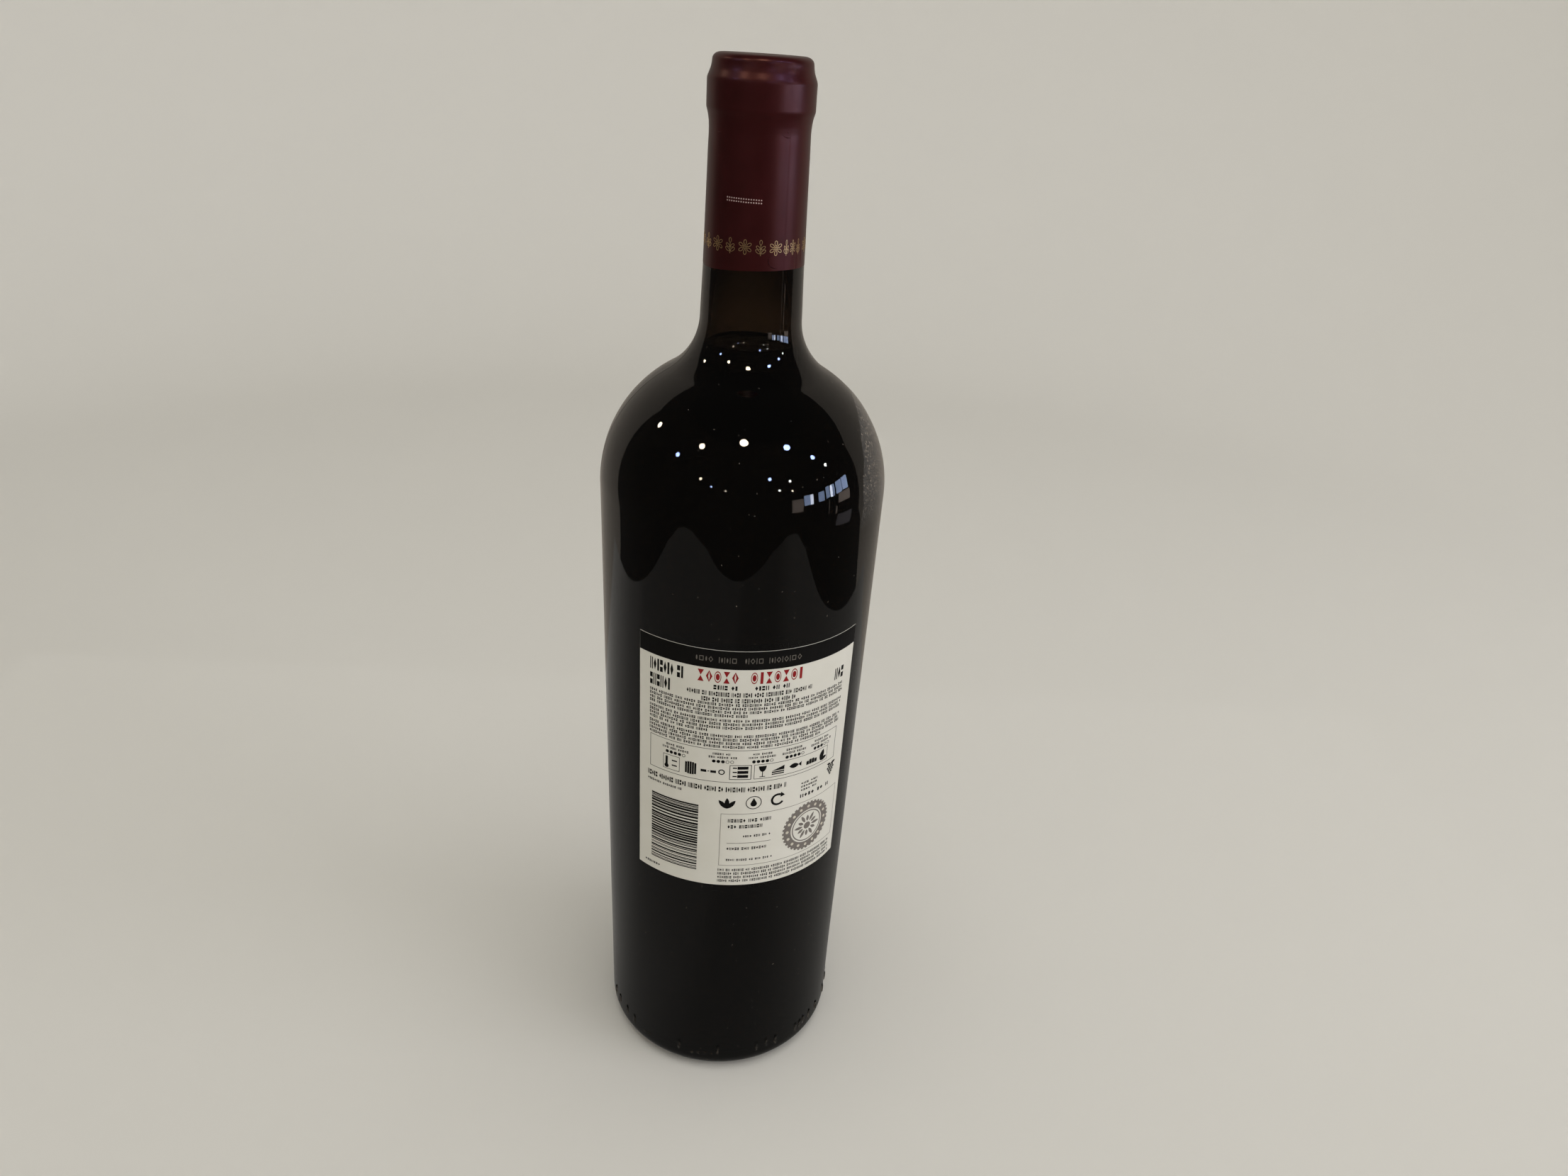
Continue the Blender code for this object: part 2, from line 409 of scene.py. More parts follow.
def turned(name, outline, turns, material, shape=None, shaped_from=1):
    """Sweeps an outline of (radius, height) points round Z into a solid. Its ends are on the axis.
    shape(r, z, turn) moves the points from the one with this number on."""
    solid = bmesh.new()
    ends = [solid.verts.new((0.0, 0.0, z * MM)) for r, z in (outline[0], outline[-1])]
    rings = []
    for number, (r, z) in enumerate(outline[1:-1], 1):
        ring = []
        for turn in turns:
            there_r, there_z = shape(r, z, turn) if shape and number >= shaped_from else (r, z)
            x, y = polar(there_r, turn)
            ring.append(solid.verts.new((x * MM, y * MM, there_z * MM)))
        rings.append(ring)
    following = list(range(1, len(turns))) + [0]
    for upper, lower in zip(rings, rings[1:]):
        for i, j in enumerate(following):
            solid.faces.new((upper[i], upper[j], lower[j], lower[i]))
    for i, j in enumerate(following):
        solid.faces.new((ends[0], rings[0][j], rings[0][i]))
        solid.faces.new((ends[1], rings[-1][i], rings[-1][j]))
    faced_outwards(solid)
    piece = ended(name, solid, material)
    smoothed(piece, 38.0)
    return piece


# Flat work: x runs across in mm, y is the height on the bottle, and lift gives its two faces

def slab(flat, outline, lift=INK):
    """A thin plate over a closed outline of (x, y) points."""
    low, high = ([flat.verts.new((x * MM, y * MM, z * MM)) for x, y in outline] for z in lift)
    flat.faces.new(high)
    flat.faces.new(low[::-1])
    for i in range(len(outline)):
        j = (i + 1) % len(outline)
        flat.faces.new((low[i], low[j], high[j], high[i]))


def bar(flat, left, low, right, high, lift=INK):
    slab(flat, [(left, low), (right, low), (right, high), (left, high)], lift)


def disc(flat, x, y, radius, lift=INK, sides=20):
    slab(flat, arc((x, y), radius, 0.0, 360.0 - 360.0 / sides, sides - 1), lift)


def hoop(flat, x, y, inner, outer, lift=INK, sides=32, start=0.0, end=360.0):
    """A flat ring, or a part of one, as plates side by side."""
    for i in range(sides):
        a, b = (start + (end - start) * k / sides for k in (i, i + 1))
        slab(flat, [polar(radius, turn, x, y) for radius, turn in
                    ((inner, a), (outer, a), (outer, b), (inner, b))], lift)


def box_line(flat, left, low, right, high, stroke, lift=INK):
    """The outline of a box."""
    for sides in ((left, low, right, low + stroke), (left, high - stroke, right, high),
                  (left, low + stroke, left + stroke, high - stroke),
                  (right - stroke, low + stroke, right, high - stroke)):
        bar(flat, *sides, lift)


def between(flat, outer, inner, lift=INK):
    """The strip between two closed outlines, as one plate for each side."""
    for i in range(len(outer)):
        j = (i + 1) % len(outer)
        slab(flat, [outer[i], outer[j], inner[j], inner[i]], lift)


def swung(points, x, y, turn):
    """Points turned round zero and then moved by x, y."""
    cosine, sine = polar(1.0, turn)
    return [(x + a * cosine - b * sine, y + a * sine + b * cosine) for a, b in points]


def leaf(flat, x, y, length, width, turn):
    """A pointed leaf that starts at x, y."""
    along = [0.0, 0.12, 0.3, 0.5, 0.7, 0.88, 1.0]
    half = [width / 2 * math.sin(math.pi * s) ** 0.8 if 0 < s < 1 else 0.0 for s in along]
    edge = [(s * length, -h) for s, h in zip(along, half)]
    edge += [(s * length, h) for s, h in zip(along[-2:0:-1], half[-2:0:-1])]
    slab(flat, swung(edge, x, y, turn))


def cut(flat, axis, places):
    """Cuts flat work across x or y at these places, so that it bends smoothly."""
    for place in places:
        geometry = flat.verts[:] + flat.edges[:] + flat.faces[:]
        point, normal = [0.0, 0.0, 0.0], [0.0, 0.0, 0.0]
        point[axis], normal[axis] = place * MM, 1.0
        bmesh.ops.bisect_plane(flat, geom=geometry, dist=1e-7, plane_co=point, plane_no=normal)


def columns(width, step=COLUMN_STEP):
    """Places for cuts over a width, out from its middle."""
    count = int(width / step / 2) + 1
    return [i * step for i in range(-count, count + 1)]


def flat_piece(name, steps):
    """A piece of flat work from steps, each a function and the values for it."""
    flat = bmesh.new()
    for shape, *values in steps:
        shape(flat, *values)
    faced_outwards(flat)
    return ended(name, flat)


# Geometry Nodes

def new_tree(name, inputs):
    """A Geometry Nodes tree with a geometry input and output and more inputs by name and kind.
    Gives back the tree, what it is given and its end."""
    tree = bpy.data.node_groups.new(name, "GeometryNodeTree")
    for socket, kind in {"Geometry": "Geometry", **inputs}.items():
        tree.interface.new_socket(socket, in_out="INPUT", socket_type="NodeSocket" + kind)
    tree.interface.new_socket("Geometry", in_out="OUTPUT", socket_type="NodeSocketGeometry")
    return tree, add(tree, "NodeGroupInput").outputs, add(tree, "NodeGroupOutput")


BEND_INPUTS = {"Surface": "Object", "Facing": "Float", "Low height": "Float",
               "Low radius": "Float", "High height": "Float", "High radius": "Float"}
RAY_START = 0.06  # rays start this far from the axis, in metres, outside the bottle


def bend_tree():
    """Bends flat work round the axis and lets it down on the surface that it finds there."""
    tree, given, end = new_tree("bend_onto_surface", BEND_INPUTS)
    low_height, low_radius = given["Low height"], given["Low radius"]
    at = add(tree, SEPARATE, None, (add(tree, "GeometryNodeInputPosition"),)).outputs
    rise = add(tree, MATHS, MINUS, (given["High height"], low_height))
    above = add(tree, MATHS, MINUS, (at["Y"], low_height))
    share = add(tree, MATHS, OVER, (above, rise))
    spread = add(tree, MATHS, MINUS, (given["High radius"], low_radius))
    radius = add(tree, MATHS, TIMES_PLUS, (spread, share, low_radius))
    round_by = add(tree, MATHS, OVER, (at["X"], radius))
    angle = add(tree, MATHS, PLUS, (round_by, given["Facing"]))
    across = add(tree, MATHS, {"operation": "COSINE"}, (angle,))
    along = add(tree, MATHS, {"operation": "SINE"}, (angle,))
    outward = add(tree, COMBINE, None, (across, along))
    inward = add(tree, VECTOR_MATHS, SCALED, {0: outward, "Scale": -1.0})
    level = add(tree, COMBINE, None, {"Z": at["Y"]})
    far = add(tree, VECTOR_MATHS, TIMES_PLUS, (outward, (RAY_START, RAY_START, RAY_START), level))
    surface = add(tree, "GeometryNodeObjectInfo", OWN_PLACE, {"Object": given["Surface"]})
    ray = add(tree, "GeometryNodeRaycast", None, {
        "Target Geometry": surface.outputs["Geometry"], "Source Position": far,
        "Ray Direction": inward, "Ray Length": RAY_START})
    lift = add(tree, VECTOR_MATHS, SCALED, {0: outward, "Scale": at["Z"]})
    lifted = add(tree, VECTOR_MATHS, PLUS, (ray.outputs["Hit Position"], lift))
    moved = add(tree, "GeometryNodeSetPosition", None,
                {"Geometry": given["Geometry"], "Position": lifted})
    feed(tree, end, (moved,))
    return tree


def finished(tree, given, end, shape):
    """Ends a tree with its finish."""
    feed(tree, end, (add(tree, "GeometryNodeSetMaterial", None,
                         {"Geometry": shape, "Material": given["Finish"]}),))
    return tree


def laid_tree(bend, marks):
    """Lays flat work on the bottle. With marks, its points first take one of the given marks each,
    by mark_kind, at the size in mark_size."""
    mark_inputs = {f"Mark {i}": "Object" for i in range(marks)}
    tree, given, end = new_tree("lay_marks" if marks else "lay_sheet",
                                {**BEND_INPUTS, "Finish": "Material", **mark_inputs})
    flat = given["Geometry"]
    if marks:
        kind, size = (add(tree, "GeometryNodeInputNamedAttribute", {"data_type": data_type},
                          {"Name": name})
                      for name, data_type in (("mark_kind", "FLOAT"), ("mark_size", "FLOAT_VECTOR")))
        flat = add(tree, "GeometryNodeJoinGeometry")
        for i in range(marks):
            chosen = add(tree, MATHS, {"operation": "COMPARE"}, (kind, float(i), 0.1))
            mark = add(tree, "GeometryNodeObjectInfo", OWN_PLACE, {"Object": given[f"Mark {i}"]})
            feed(tree, flat, (add(tree, "GeometryNodeInstanceOnPoints", None, {
                "Points": given["Geometry"], "Selection": chosen,
                "Instance": mark.outputs["Geometry"], "Scale": size}),))
    whole = add(tree, "GeometryNodeRealizeInstances", None, {"Geometry": flat})
    bent = add(tree, "GeometryNodeGroup", {"node_tree": bend},
               {"Geometry": whole, **{socket: given[socket] for socket in BEND_INPUTS}})
    return finished(tree, given, end, bent)


def ring_tree():
    """Copies a piece round the axis, at even turns."""
    tree, given, end = new_tree("copies_round_axis",
                                {"Copy": "Object", "Count": "Int", "Finish": "Material"})
    line = add(tree, "GeometryNodeMeshLine", None,
               {"Count": given["Count"], "Offset": (0.0, 0.0, 0.0)})
    step = add(tree, MATHS, OVER, (math.tau, given["Count"]))
    turn = add(tree, MATHS, TIMES, (add(tree, "GeometryNodeInputIndex"), step))
    rotation = add(tree, COMBINE, None, {"Z": turn})
    copy = add(tree, "GeometryNodeObjectInfo", OWN_PLACE, {"Object": given["Copy"]})
    copies = add(tree, "GeometryNodeInstanceOnPoints", None, {
        "Points": line, "Instance": copy.outputs["Geometry"], "Rotation": rotation})
    whole = add(tree, "GeometryNodeRealizeInstances", None, {"Geometry": copies})
    return finished(tree, given, end, whole)


def run_tree(piece, tree, values):
    """Runs a tree on a piece with these inputs and leaves the result as its plain mesh."""
    modifier = piece.modifiers.new("nodes", "NODES")
    modifier.node_group = tree
    for item in tree.interface.items_tree:
        if item.in_out == "INPUT" and item.name in values:
            modifier[item.identifier] = values[item.name]
    bpy.context.view_layer.update()
    evaluated = piece.evaluated_get(bpy.context.evaluated_depsgraph_get())
    mesh = bpy.data.meshes.new_from_object(evaluated)
    piece.modifiers.remove(modifier)
    mesh.name = piece.name
    for name in ("mark_kind", "mark_size"):
        if name in mesh.attributes:
            mesh.attributes.remove(mesh.attributes[name])
    piece.data = mesh
    return piece


MARK_KINDS = 4
bend = bend_tree()
lay_sheet = laid_tree(bend, 0)
lay_marks = laid_tree(bend, MARK_KINDS)
copies_round_axis = ring_tree()


def on_surface(surface, facing, finish, low, high):
    """Inputs for work that is laid on a surface. low and high give its slope as radius and height."""
    return {"Surface": surface, "Facing": math.radians(facing), "Finish": finish,
            "Low radius": low[0] * MM, "Low height": low[1] * MM,
            "High radius": high[0] * MM, "High height": high[1] * MM}


def on_glass(facing, finish):
    """Inputs for work that is laid on the body."""
    return on_surface(glass, facing, finish, (FOOT_RADIUS, HEEL_CURVE),
                      (SHOULDER_RADIUS, SHOULDER_HEIGHT))


def on_capsule(finish):
    """Inputs for work that is laid on the capsule's skirt."""
    return on_surface(capsule, VIEWER_TURN, finish, CAPSULE_EDGES[-1], CAPSULE_EDGES[-2])


def laid_shapes(name, steps, width, values):
    """Draws flat shapes, cuts them in columns and lays them on the bottle."""
    return run_tree(flat_piece(name, [*steps, (cut, 0, columns(width))]), lay_sheet, values)


def laid_marks(name, rows, marks, values):
    """Lays a mark on the bottle for each (x, y, width, height, kind) in rows."""
    mesh = bpy.data.meshes.new(name)
    mesh.from_pydata([(x * MM, y * MM, 0.0) for x, y, *_ in rows], [], [])
    # One attribute is filled before the next is made, as making one moves those already there
    sizes = mesh.attributes.new("mark_size", "FLOAT_VECTOR", "POINT")
    for i, (_, _, width, height, _) in enumerate(rows):
        sizes.data[i].vector = (width * MM, height * MM, 1.0)
    kinds = mesh.attributes.new("mark_kind", "FLOAT", "POINT")
    for i, row in enumerate(rows):
        kinds.data[i].value = row[-1]
    given = {f"Mark {i}": marks[min(i, len(marks) - 1)] for i in range(MARK_KINDS)}
    return run_tree(placed(name, mesh), lay_marks, {**values, **given})


# Materials

def bottle_glass():
    """Dark antique glass, blown in a mould: near black where it is thick, brown where light gets
    through the neck, sharp gloss, a film of dust on one side of the shoulder and lone grains of it
    everywhere."""
    glass, tree, shader = plain("antique_bottle_glass", "#ffffff", 0.02, IOR=1.52)

    def grains(where, kind, width, apart, share):
        """Specks of this width, about so far apart, in this share of the places."""
        cells = add(tree, "ShaderNodeTexVoronoi", {"voronoi_dimensions": kind},
                    {"Vector": where, "Scale": 1 / (apart * MM)}).outputs
        cell = add(tree, "ShaderNodeSeparateColor", None, (cells["Color"],))
        near = add(tree, RANGE, SMOOTH,
                   (cells["Distance"], 0.6 * width / apart, 0.3 * width / apart))
        chosen = add(tree, RANGE, SMOOTH, (cell, 1.0 - share, 1.0 - share / 3))
        return add(tree, MATHS, TIMES, (near, chosen))

    place = add(tree, PLACE).outputs["Object"]
    cloud = add(tree, CLOUDS, None,
                {"Vector": place, "Scale": 1 / (7.0 * MM), "Detail": 6.0, "Roughness": 0.7})
    at = add(tree, SEPARATE, None, (place,)).outputs

    # The film lies on the right of the shoulder and has a ragged edge
    ragged = add(tree, MATHS, TIMES_PLUS, (cloud, 1.6 * MM, at["X"]))
    from_edge = add(tree, RANGE, SMOOTH, (ragged, 34.6 * MM, 35.4 * MM))
    from_below = add(tree, RANGE, SMOOTH, (at["Z"], 232.0 * MM, 250.0 * MM))
    to_back = add(tree, RANGE, SMOOTH, (at["Y"], 24.0 * MM, 4.0 * MM))
    on_side = add(tree, MATHS, TIMES, (from_edge, from_below))
    patch = add(tree, MATHS, TIMES, (on_side, to_back))
    thicker = add(tree, RANGE, SMOOTH, (at["X"], 33.0 * MM, 47.0 * MM, 0.04, 0.10))
    uneven = add(tree, RANGE, SMOOTH, (cloud, 0.3, 0.7, 0.6, 1.4))
    film = add(tree, MATHS, TIMES, (thicker, uneven))

    # Specks in the film are drawn from the side, as short strokes, and lone ones are round
    squeezed = add(tree, MATHS, TIMES, (at["Z"], 0.7))
    from_side = add(tree, COMBINE, None, (at["Y"], squeezed))
    denser = add(tree, RANGE, SMOOTH, (cloud, 0.30, 0.6, 0.10, 0.42))
    specks = add(tree, MATHS, TIMES, (grains(from_side, "2D", 0.5, 0.85, 0.7), denser))
    in_film = add(tree, MATHS, PLUS, (film, specks))
    on_patch = add(tree, MATHS, TIMES, (patch, in_film))
    here_and_there = add(tree, RANGE, SMOOTH, (cloud, 0.42, 0.62, 0.0, 0.30))
    lone = add(tree, MATHS, TIMES, (grains(place, "3D", 0.42, 2.4, 0.5), here_and_there))
    dust = add(tree, MATHS, PLUS, (on_patch, lone))

    clear = add(tree, MATHS, {**MINUS, "use_clamp": True}, (1.0, dust))
    dusty = add(tree, RANGE, SMOOTH, (dust, 0.0, 0.12))
    tint = add(tree, "ShaderNodeMix", COLOURS, {0: dusty, 6: linear("#ffffff"), 7: linear("#bdb0a2")})
    rough = add(tree, MATHS, TIMES_PLUS, (patch, 0.05, 0.012))
    feed(tree, shader, {"Transmission Weight": clear, "Base Color": tint.outputs[2],
                        "Roughness": rough})
    soak = add(tree, "ShaderNodeVolumeAbsorption", None,
               {"Color": linear("#9d8254"), "Density": 800.0})
    feed(tree, tree.nodes["Material Output"], {"Volume": soak})
    return glass


def red_wine():
    """Red wine: clear, and so deep a red that a few centimetres of it look black."""
    wine, tree, _ = plain("red_wine", "#ffffff", 0.0, IOR=1.34, Transmission_Weight=1.0)
    soak = add(tree, "ShaderNodeVolumeAbsorption", None,
               {"Color": linear("#ec276f"), "Density": 600.0})
    feed(tree, tree.nodes["Material Output"], {"Volume": soak})
    return wine


def shrink_foil():
    """Burgundy polylaminate foil, shrunk on with heat: satin lacquer over aluminium, with a fine
    pebbled skin and faint clouds where the heat took it unevenly."""
    foil, tree, shader = plain("burgundy_shrink_foil", "#2f080a", 0.33, IOR=1.5,
                               Specular_IOR_Level=0.6, Specular_Tint=linear("#ffb9b2"))
    place = add(tree, PLACE).outputs["Object"]
    clouds = add(tree, CLOUDS, None,
                 {"Vector": place, "Scale": 1 / (8.0 * MM), "Detail": 4.0, "Roughness": 0.6})
    tint = add(tree, RANGE, None, (clouds, 0.3, 0.7))
    colour = add(tree, "ShaderNodeMix", COLOURS, {0: tint, 6: linear("#2b0809"), 7: linear("#33090c")})
    rough = add(tree, RANGE, None, (clouds, 0.3, 0.7, 0.30, 0.36))
    pebbles = add(tree, CLOUDS, None, {"Vector": place, "Scale": 1 / (0.45 * MM), "Detail": 2.0})
    skin = add(tree, BUMP, None, {"Height": pebbles, "Strength": 0.25, "Distance": 0.03 * MM})
    feed(tree, shader, {"Base Color": colour.outputs[2], "Roughness": rough, "Normal": skin})
    return foil


def label_paper():
    """Uncoated cream label paper: matt, with short fibres and a slightly cloudy sheet."""
    paper, tree, shader = plain("cream_label_paper", "#dedbd0", 0.62, Specular_IOR_Level=0.3)
    place = add(tree, PLACE).outputs["Object"]
    clouds = add(tree, CLOUDS, None, {"Vector": place, "Scale": 1 / (12.0 * MM), "Detail": 3.0})
    colour = add(tree, "ShaderNodeMix", COLOURS, {0: clouds, 6: linear("#d7d5ca"), 7: linear("#e1dfd8")})
    long_way = add(tree, "ShaderNodeMapping", None, {"Vector": place, "Scale": (1.0, 1.0, 2.6)})
    fibres = add(tree, CLOUDS, None, {"Vector": long_way, "Scale": 1 / (0.5 * MM), "Detail": 4.0,
                                      "Roughness": 0.65})
    sheet = add(tree, BUMP, None, {"Height": fibres, "Strength": 0.35, "Distance": 0.04 * MM})
    feed(tree, shader, {"Base Color": colour.outputs[2], "Normal": sheet})
    return paper


def printing_ink(name, colour, roughness=0.45, metallic=0.0, shine=0.12):
    """Offset ink on paper: a thin even film, a little glossier than the paper, that lets the
    paper's grain through as small changes of tone."""
    ink, tree, shader = plain(name, colour, roughness, metallic, Specular_IOR_Level=shine)
    place = add(tree, PLACE).outputs["Object"]
    grain = add(tree, CLOUDS, None, {"Vector": place, "Scale": 1 / (0.8 * MM), "Detail": 3.0})
    tone = add(tree, RANGE, None, (grain, 0.3, 0.7, 0.9, 1.1))
    toned = add(tree, VECTOR_MATHS, SCALED, {0: linear(colour)[:3], "Scale": tone})
    feed(tree, shader, {"Base Color": toned})
    return ink


GLASS = bottle_glass()
WINE = red_wine()
FOIL = shrink_foil()
CREAM_PAPER = label_paper()
BLACK_INK = printing_ink("black_offset_ink", "#131211")
SOFT_BLACK_INK = printing_ink("thin_black_ink", "#211f1d")
RED_INK = printing_ink("dark_red_ink", "#8e1d20")
GREY_INK = printing_ink("warm_grey_ink", "#77716c")
BAND_GREY_INK = printing_ink("grey_ink_on_black", "#6f6a63")
JET_INK = printing_ink("pale_jet_ink", "#b59a98", 0.5)
GOLD_LEAF = printing_ink("hot_stamped_gold", "#dab985", 0.36, 0.9, 0.5)
PALE_INK = printing_ink("cream_ink", "#cfc9bb")


# Glass, wine and capsule

def glass_turns():
    """Even columns, with more of them where the mould's seam stands."""
    fine = [there + step for there in SEAM_TURNS for step in SEAM_STEPS]
    even = [turn for turn in even_turns(GLASS_COLUMNS)
            if all(abs(turn_between(turn, there)) > 0.7 for there in SEAM_TURNS)]
    return sorted(turn % 360.0 for turn in even + fine)


inside = glass_inside()
glass = turned("glass_bottle_shell", inside + glass_outside(), glass_turns(), GLASS, blown_glass,
               len(inside))
wine = turned("wine_filling", wine_outline(), even_turns(WINE_COLUMNS), WINE)

sleeve = capsule_outline()
lining = moved_in(sleeve, CAPSULE_WALL + CAPSULE_GAP)[::-1]
thinned = [lining[0]] + lining[1:-1:5] + [lining[-1]]
capsule = turned("capsule_sleeve", sleeve + thinned, even_turns(CAPSULE_COLUMNS), FOIL, shrunk_foil)


# Creases that the shrinking left in the foil, as lines of (x, height) from the viewer's side

HEM_CREASE = 0.26
SMALL_CREASE = 0.10
CREASE_HALF_WIDTH = 0.16
CREASE_ROOT = -0.02  # its foot lies this far in the foil
CREASE_LINES = (
    [(4.6, 315.2), (4.45, 314.2), (4.6, 313.3), (5.1, 312.6), (5.9, 312.15), (6.8, 312.0),
     (7.4, 312.05)],
    [(17.3, 317.6), (17.5, 316.4), (17.55, 315.0), (17.7, 313.6), (18.0, 312.6)],
    [(6.9, 349.5), (7.6, 349.0), (8.4, 348.75), (9.2, 348.8), (10.0, 349.1)],
    [(8.3, 350.6), (8.6, 350.1), (9.0, 350.5)],
    [(-31.0, 316.4), (-31.2, 315.0), (-30.9, 313.6), (-30.2, 312.7)],
    [(30.0, 349.3), (31.0, 348.8), (32.2, 348.7), (33.4, 349.1)],
    [(38.5, 315.6), (38.3, 314.2), (38.6, 312.9)],
    [(-14.6, 349.4), (-13.6, 349.0), (-12.6, 349.1)],
)


def crease(flat, line, height):
    """A thin ridge with a sharp back that tapers out at both ends."""
    stations = []
    for i, (x, y) in enumerate(line):
        before, after = line[max(i - 1, 0)], line[min(i + 1, len(line) - 1)]
        along = math.atan2(after[1] - before[1], after[0] - before[0])
        swell = math.sin(math.pi * (i + 0.3) / (len(line) - 0.4))
        side = CREASE_HALF_WIDTH * swell
        side_x, side_y = -side * math.sin(along), side * math.cos(along)
        stations.append([flat.verts.new((px * MM, py * MM, lift * MM)) for px, py, lift in (
            (x + side_x, y + side_y, CREASE_ROOT), (x, y, height * swell),
            (x - side_x, y - side_y, CREASE_ROOT))])
    for one, two in zip(stations, stations[1:]):
        for i, j in ((0, 1), (1, 2), (2, 0)):
            flat.faces.new((one[i], two[i], two[j], one[j]))
    flat.faces.new(stations[0])
    flat.faces.new(stations[-1][::-1])


crease_heights = [HEM_CREASE] + [SMALL_CREASE] * (len(CREASE_LINES) - 1)
crease_ridges = laid_shapes(
    "capsule_creases",
    [(crease, line, height) for line, height in zip(CREASE_LINES, crease_heights)],
    100.0, on_capsule(FOIL))


# Ornaments stamped round the capsule

ORNAMENT_HEIGHT = 317.9
ORNAMENT_SIZE = 1.1
SLIM_ORNAMENT = 0.64


def petal(flat, x, y, length, width, turn, stroke):
    """A blunt petal that starts at x, y, as a thin line along its outline."""
    edge = [(length / 2 - length / 2 * math.cos(math.radians(a)),
             width / 2 * math.sin(math.radians(a)) * (0.7 + 0.3 * math.sin(math.radians(a / 2))))
            for a in range(0, 360, 30)]
    outline = swung(edge, x, y, turn)
    middle = [sum(values) / len(outline) for values in zip(*outline)]
    inner = []
    for point in outline:
        share = max(1.0 - stroke / math.dist(point, middle), 0.0)
        inner.append([m + (p - m) * share for p, m in zip(point, middle)])
    between(flat, outline, inner, STAMP)


def rosette(flat):
    """Six petals round a ring."""
    hoop(flat, 0.0, 0.0, 0.22, 0.44, STAMP, 10)
    for turn in range(30, 390, 60):
        petal(flat, *polar(0.5, turn), 1.55, 1.05, turn, 0.21)
    cut(flat, 0, columns(4.4, 0.8))


def sprig(flat):
    """An upright stem with two pairs of leaves and a bud."""
    bar(flat, -0.11, -2.1, 0.11, 0.75, STAMP)
    for y, length in ((-1.55, 1.7), (-0.45, 1.5)):
        petal(flat, 0.12, y, length, 0.95, 40.0, 0.20)
        petal(flat, -0.12, y, length, 0.95, 140.0, 0.20)
    petal(flat, 0.0, 0.65, 1.5, 1.0, 90.0, 0.21)
    cut(flat, 0, columns(3.6, 0.8))


def ornament_places():
    """Two motifs in turn, evenly spaced, but closer and slimmer where the sleeve shrank most."""
    turns, turn = [], -181.2
    while turn < 170.0:
        turns.append(turn)
        turn += 13.0 if 20.0 < turn < 30.0 else 9.6 if 30.0 <= turn < 52.0 else 17.1
    radius = CAPSULE_EDGES[-1][0]
    return [(math.radians(turn) * radius, ORNAMENT_HEIGHT,
             (SLIM_ORNAMENT if 30.0 < turn < 60.0 else ORNAMENT_SIZE) / MM, ORNAMENT_SIZE / MM, i % 2)
            for i, turn in enumerate(turns)]


stamps = [flat_piece("rosette_mark", [(rosette,)]), flat_piece("sprig_mark", [(sprig,)])]
ornaments = laid_marks("capsule_gold_ornaments", ornament_places(), stamps, on_capsule(GOLD_LEAF))


# Print marks: each is drawn one metre in size and is scaled to its place in a row

def lozenge(flat, inner_width, inner_height, lift=INK):
    """A hollow lozenge, heavier at its sides."""
    outer, inner = ([(w, 0), (0, h), (-w, 0), (0, -h)]
                    for w, h in ((500, 500), (inner_width, inner_height)))
    between(flat, outer, inner, lift)


# A set of marks, with how wide each is as a share of the pitch
FINE_MARKS = {
    "fine_block": (0.56, (bar, -420, -500, 420, 500)),
    "fine_posts": (0.78, (bar, -500, -500, -180, 500), (bar, 180, -500, 500, 500)),
    "fine_pair": (0.74, (bar, -500, -500, 500, -90), (bar, -500, 90, 500, 500)),
    "fine_lozenge": (0.74, (slab, [(0, -500), (500, 0), (0, 500), (-500, 0)])),
}
HEAVY_MARKS = {
    "heavy_post": (0.52, (bar, -340, -500, 340, 500)),
    "heavy_lozenge": (0.80, (lozenge, 150, 380)),
    "heavy_wedges": (0.84, (slab, [(-460, -500), (460, -500), (0, -20)]),
                     (slab, [(460, 500), (-460, 500), (0, 20)])),
    "heavy_berry": (0.86, (disc, 0, 0, 280), (hoop, 0, 0, 400, 490, INK, 24)),
}
BAND_MARKS = {
    "band_post": (0.10, (bar, -500, -500, 500, 500, ON_INK)),
    "band_lozenge": (0.72, (lozenge, 340, 340, ON_INK)),
    "band_square": (0.80, (box_line, -420, -420, 420, 420, 120, ON_INK)),
    "band_berry": (0.30, (disc, 0, 0, 400, ON_INK, 16)),
}


def drawn_marks(marks):
    """A set's marks as pieces, and their widths."""
    return ([flat_piece(name, steps) for name, (width, *steps) in marks.items()],
            [width for width, *steps in marks.values()])


FINE, HEAVY, BAND = (drawn_marks(marks) for marks in (FINE_MARKS, HEAVY_MARKS, BAND_MARKS))
jet_dot = flat_piece("jet_dot", [(disc, 0, 0, 500, STAMP, 8)])


def jet_dots(left, low, size, pitch, row_pitch, lean):
    """Two even rows of dots, as an ink jet sprays them, that sink a little to the right."""
    places = [(left + column * pitch, row) for column in range(15) for row in range(2)]
    return [(x, low + row * row_pitch - x * lean, size, size, 0) for x, row in places]


jet_rows = laid_marks("capsule_jet_dots", jet_dots(-9.2, 330.6, 0.44, 0.76, 0.86, 0.012), [jet_dot],
                      on_capsule(JET_INK))


# Labels

def greeked(lines, widths, seed):
    """Plain marks in word-like groups, from lines of left, right, low edge, height and pitch.
    They stand in for print and spell nothing."""
    chance = random.Random(seed)
    rows = []
    for left, right, low, height, pitch in lines:
        x, word, kind = left, chance.randint(3, 9), 0
        while x + pitch * 0.8 <= right:
            if word == 0:
                x += pitch * 0.7
                word = chance.randint(2, 9)
                continue
            kind = (kind + chance.randint(1, len(widths) - 1)) % len(widths)
            wide = pitch * widths[kind]
            rows.append((x + wide / 2, low + height / 2, wide, height, kind))
            x += wide + pitch * 0.22
            word -= 1
    return rows


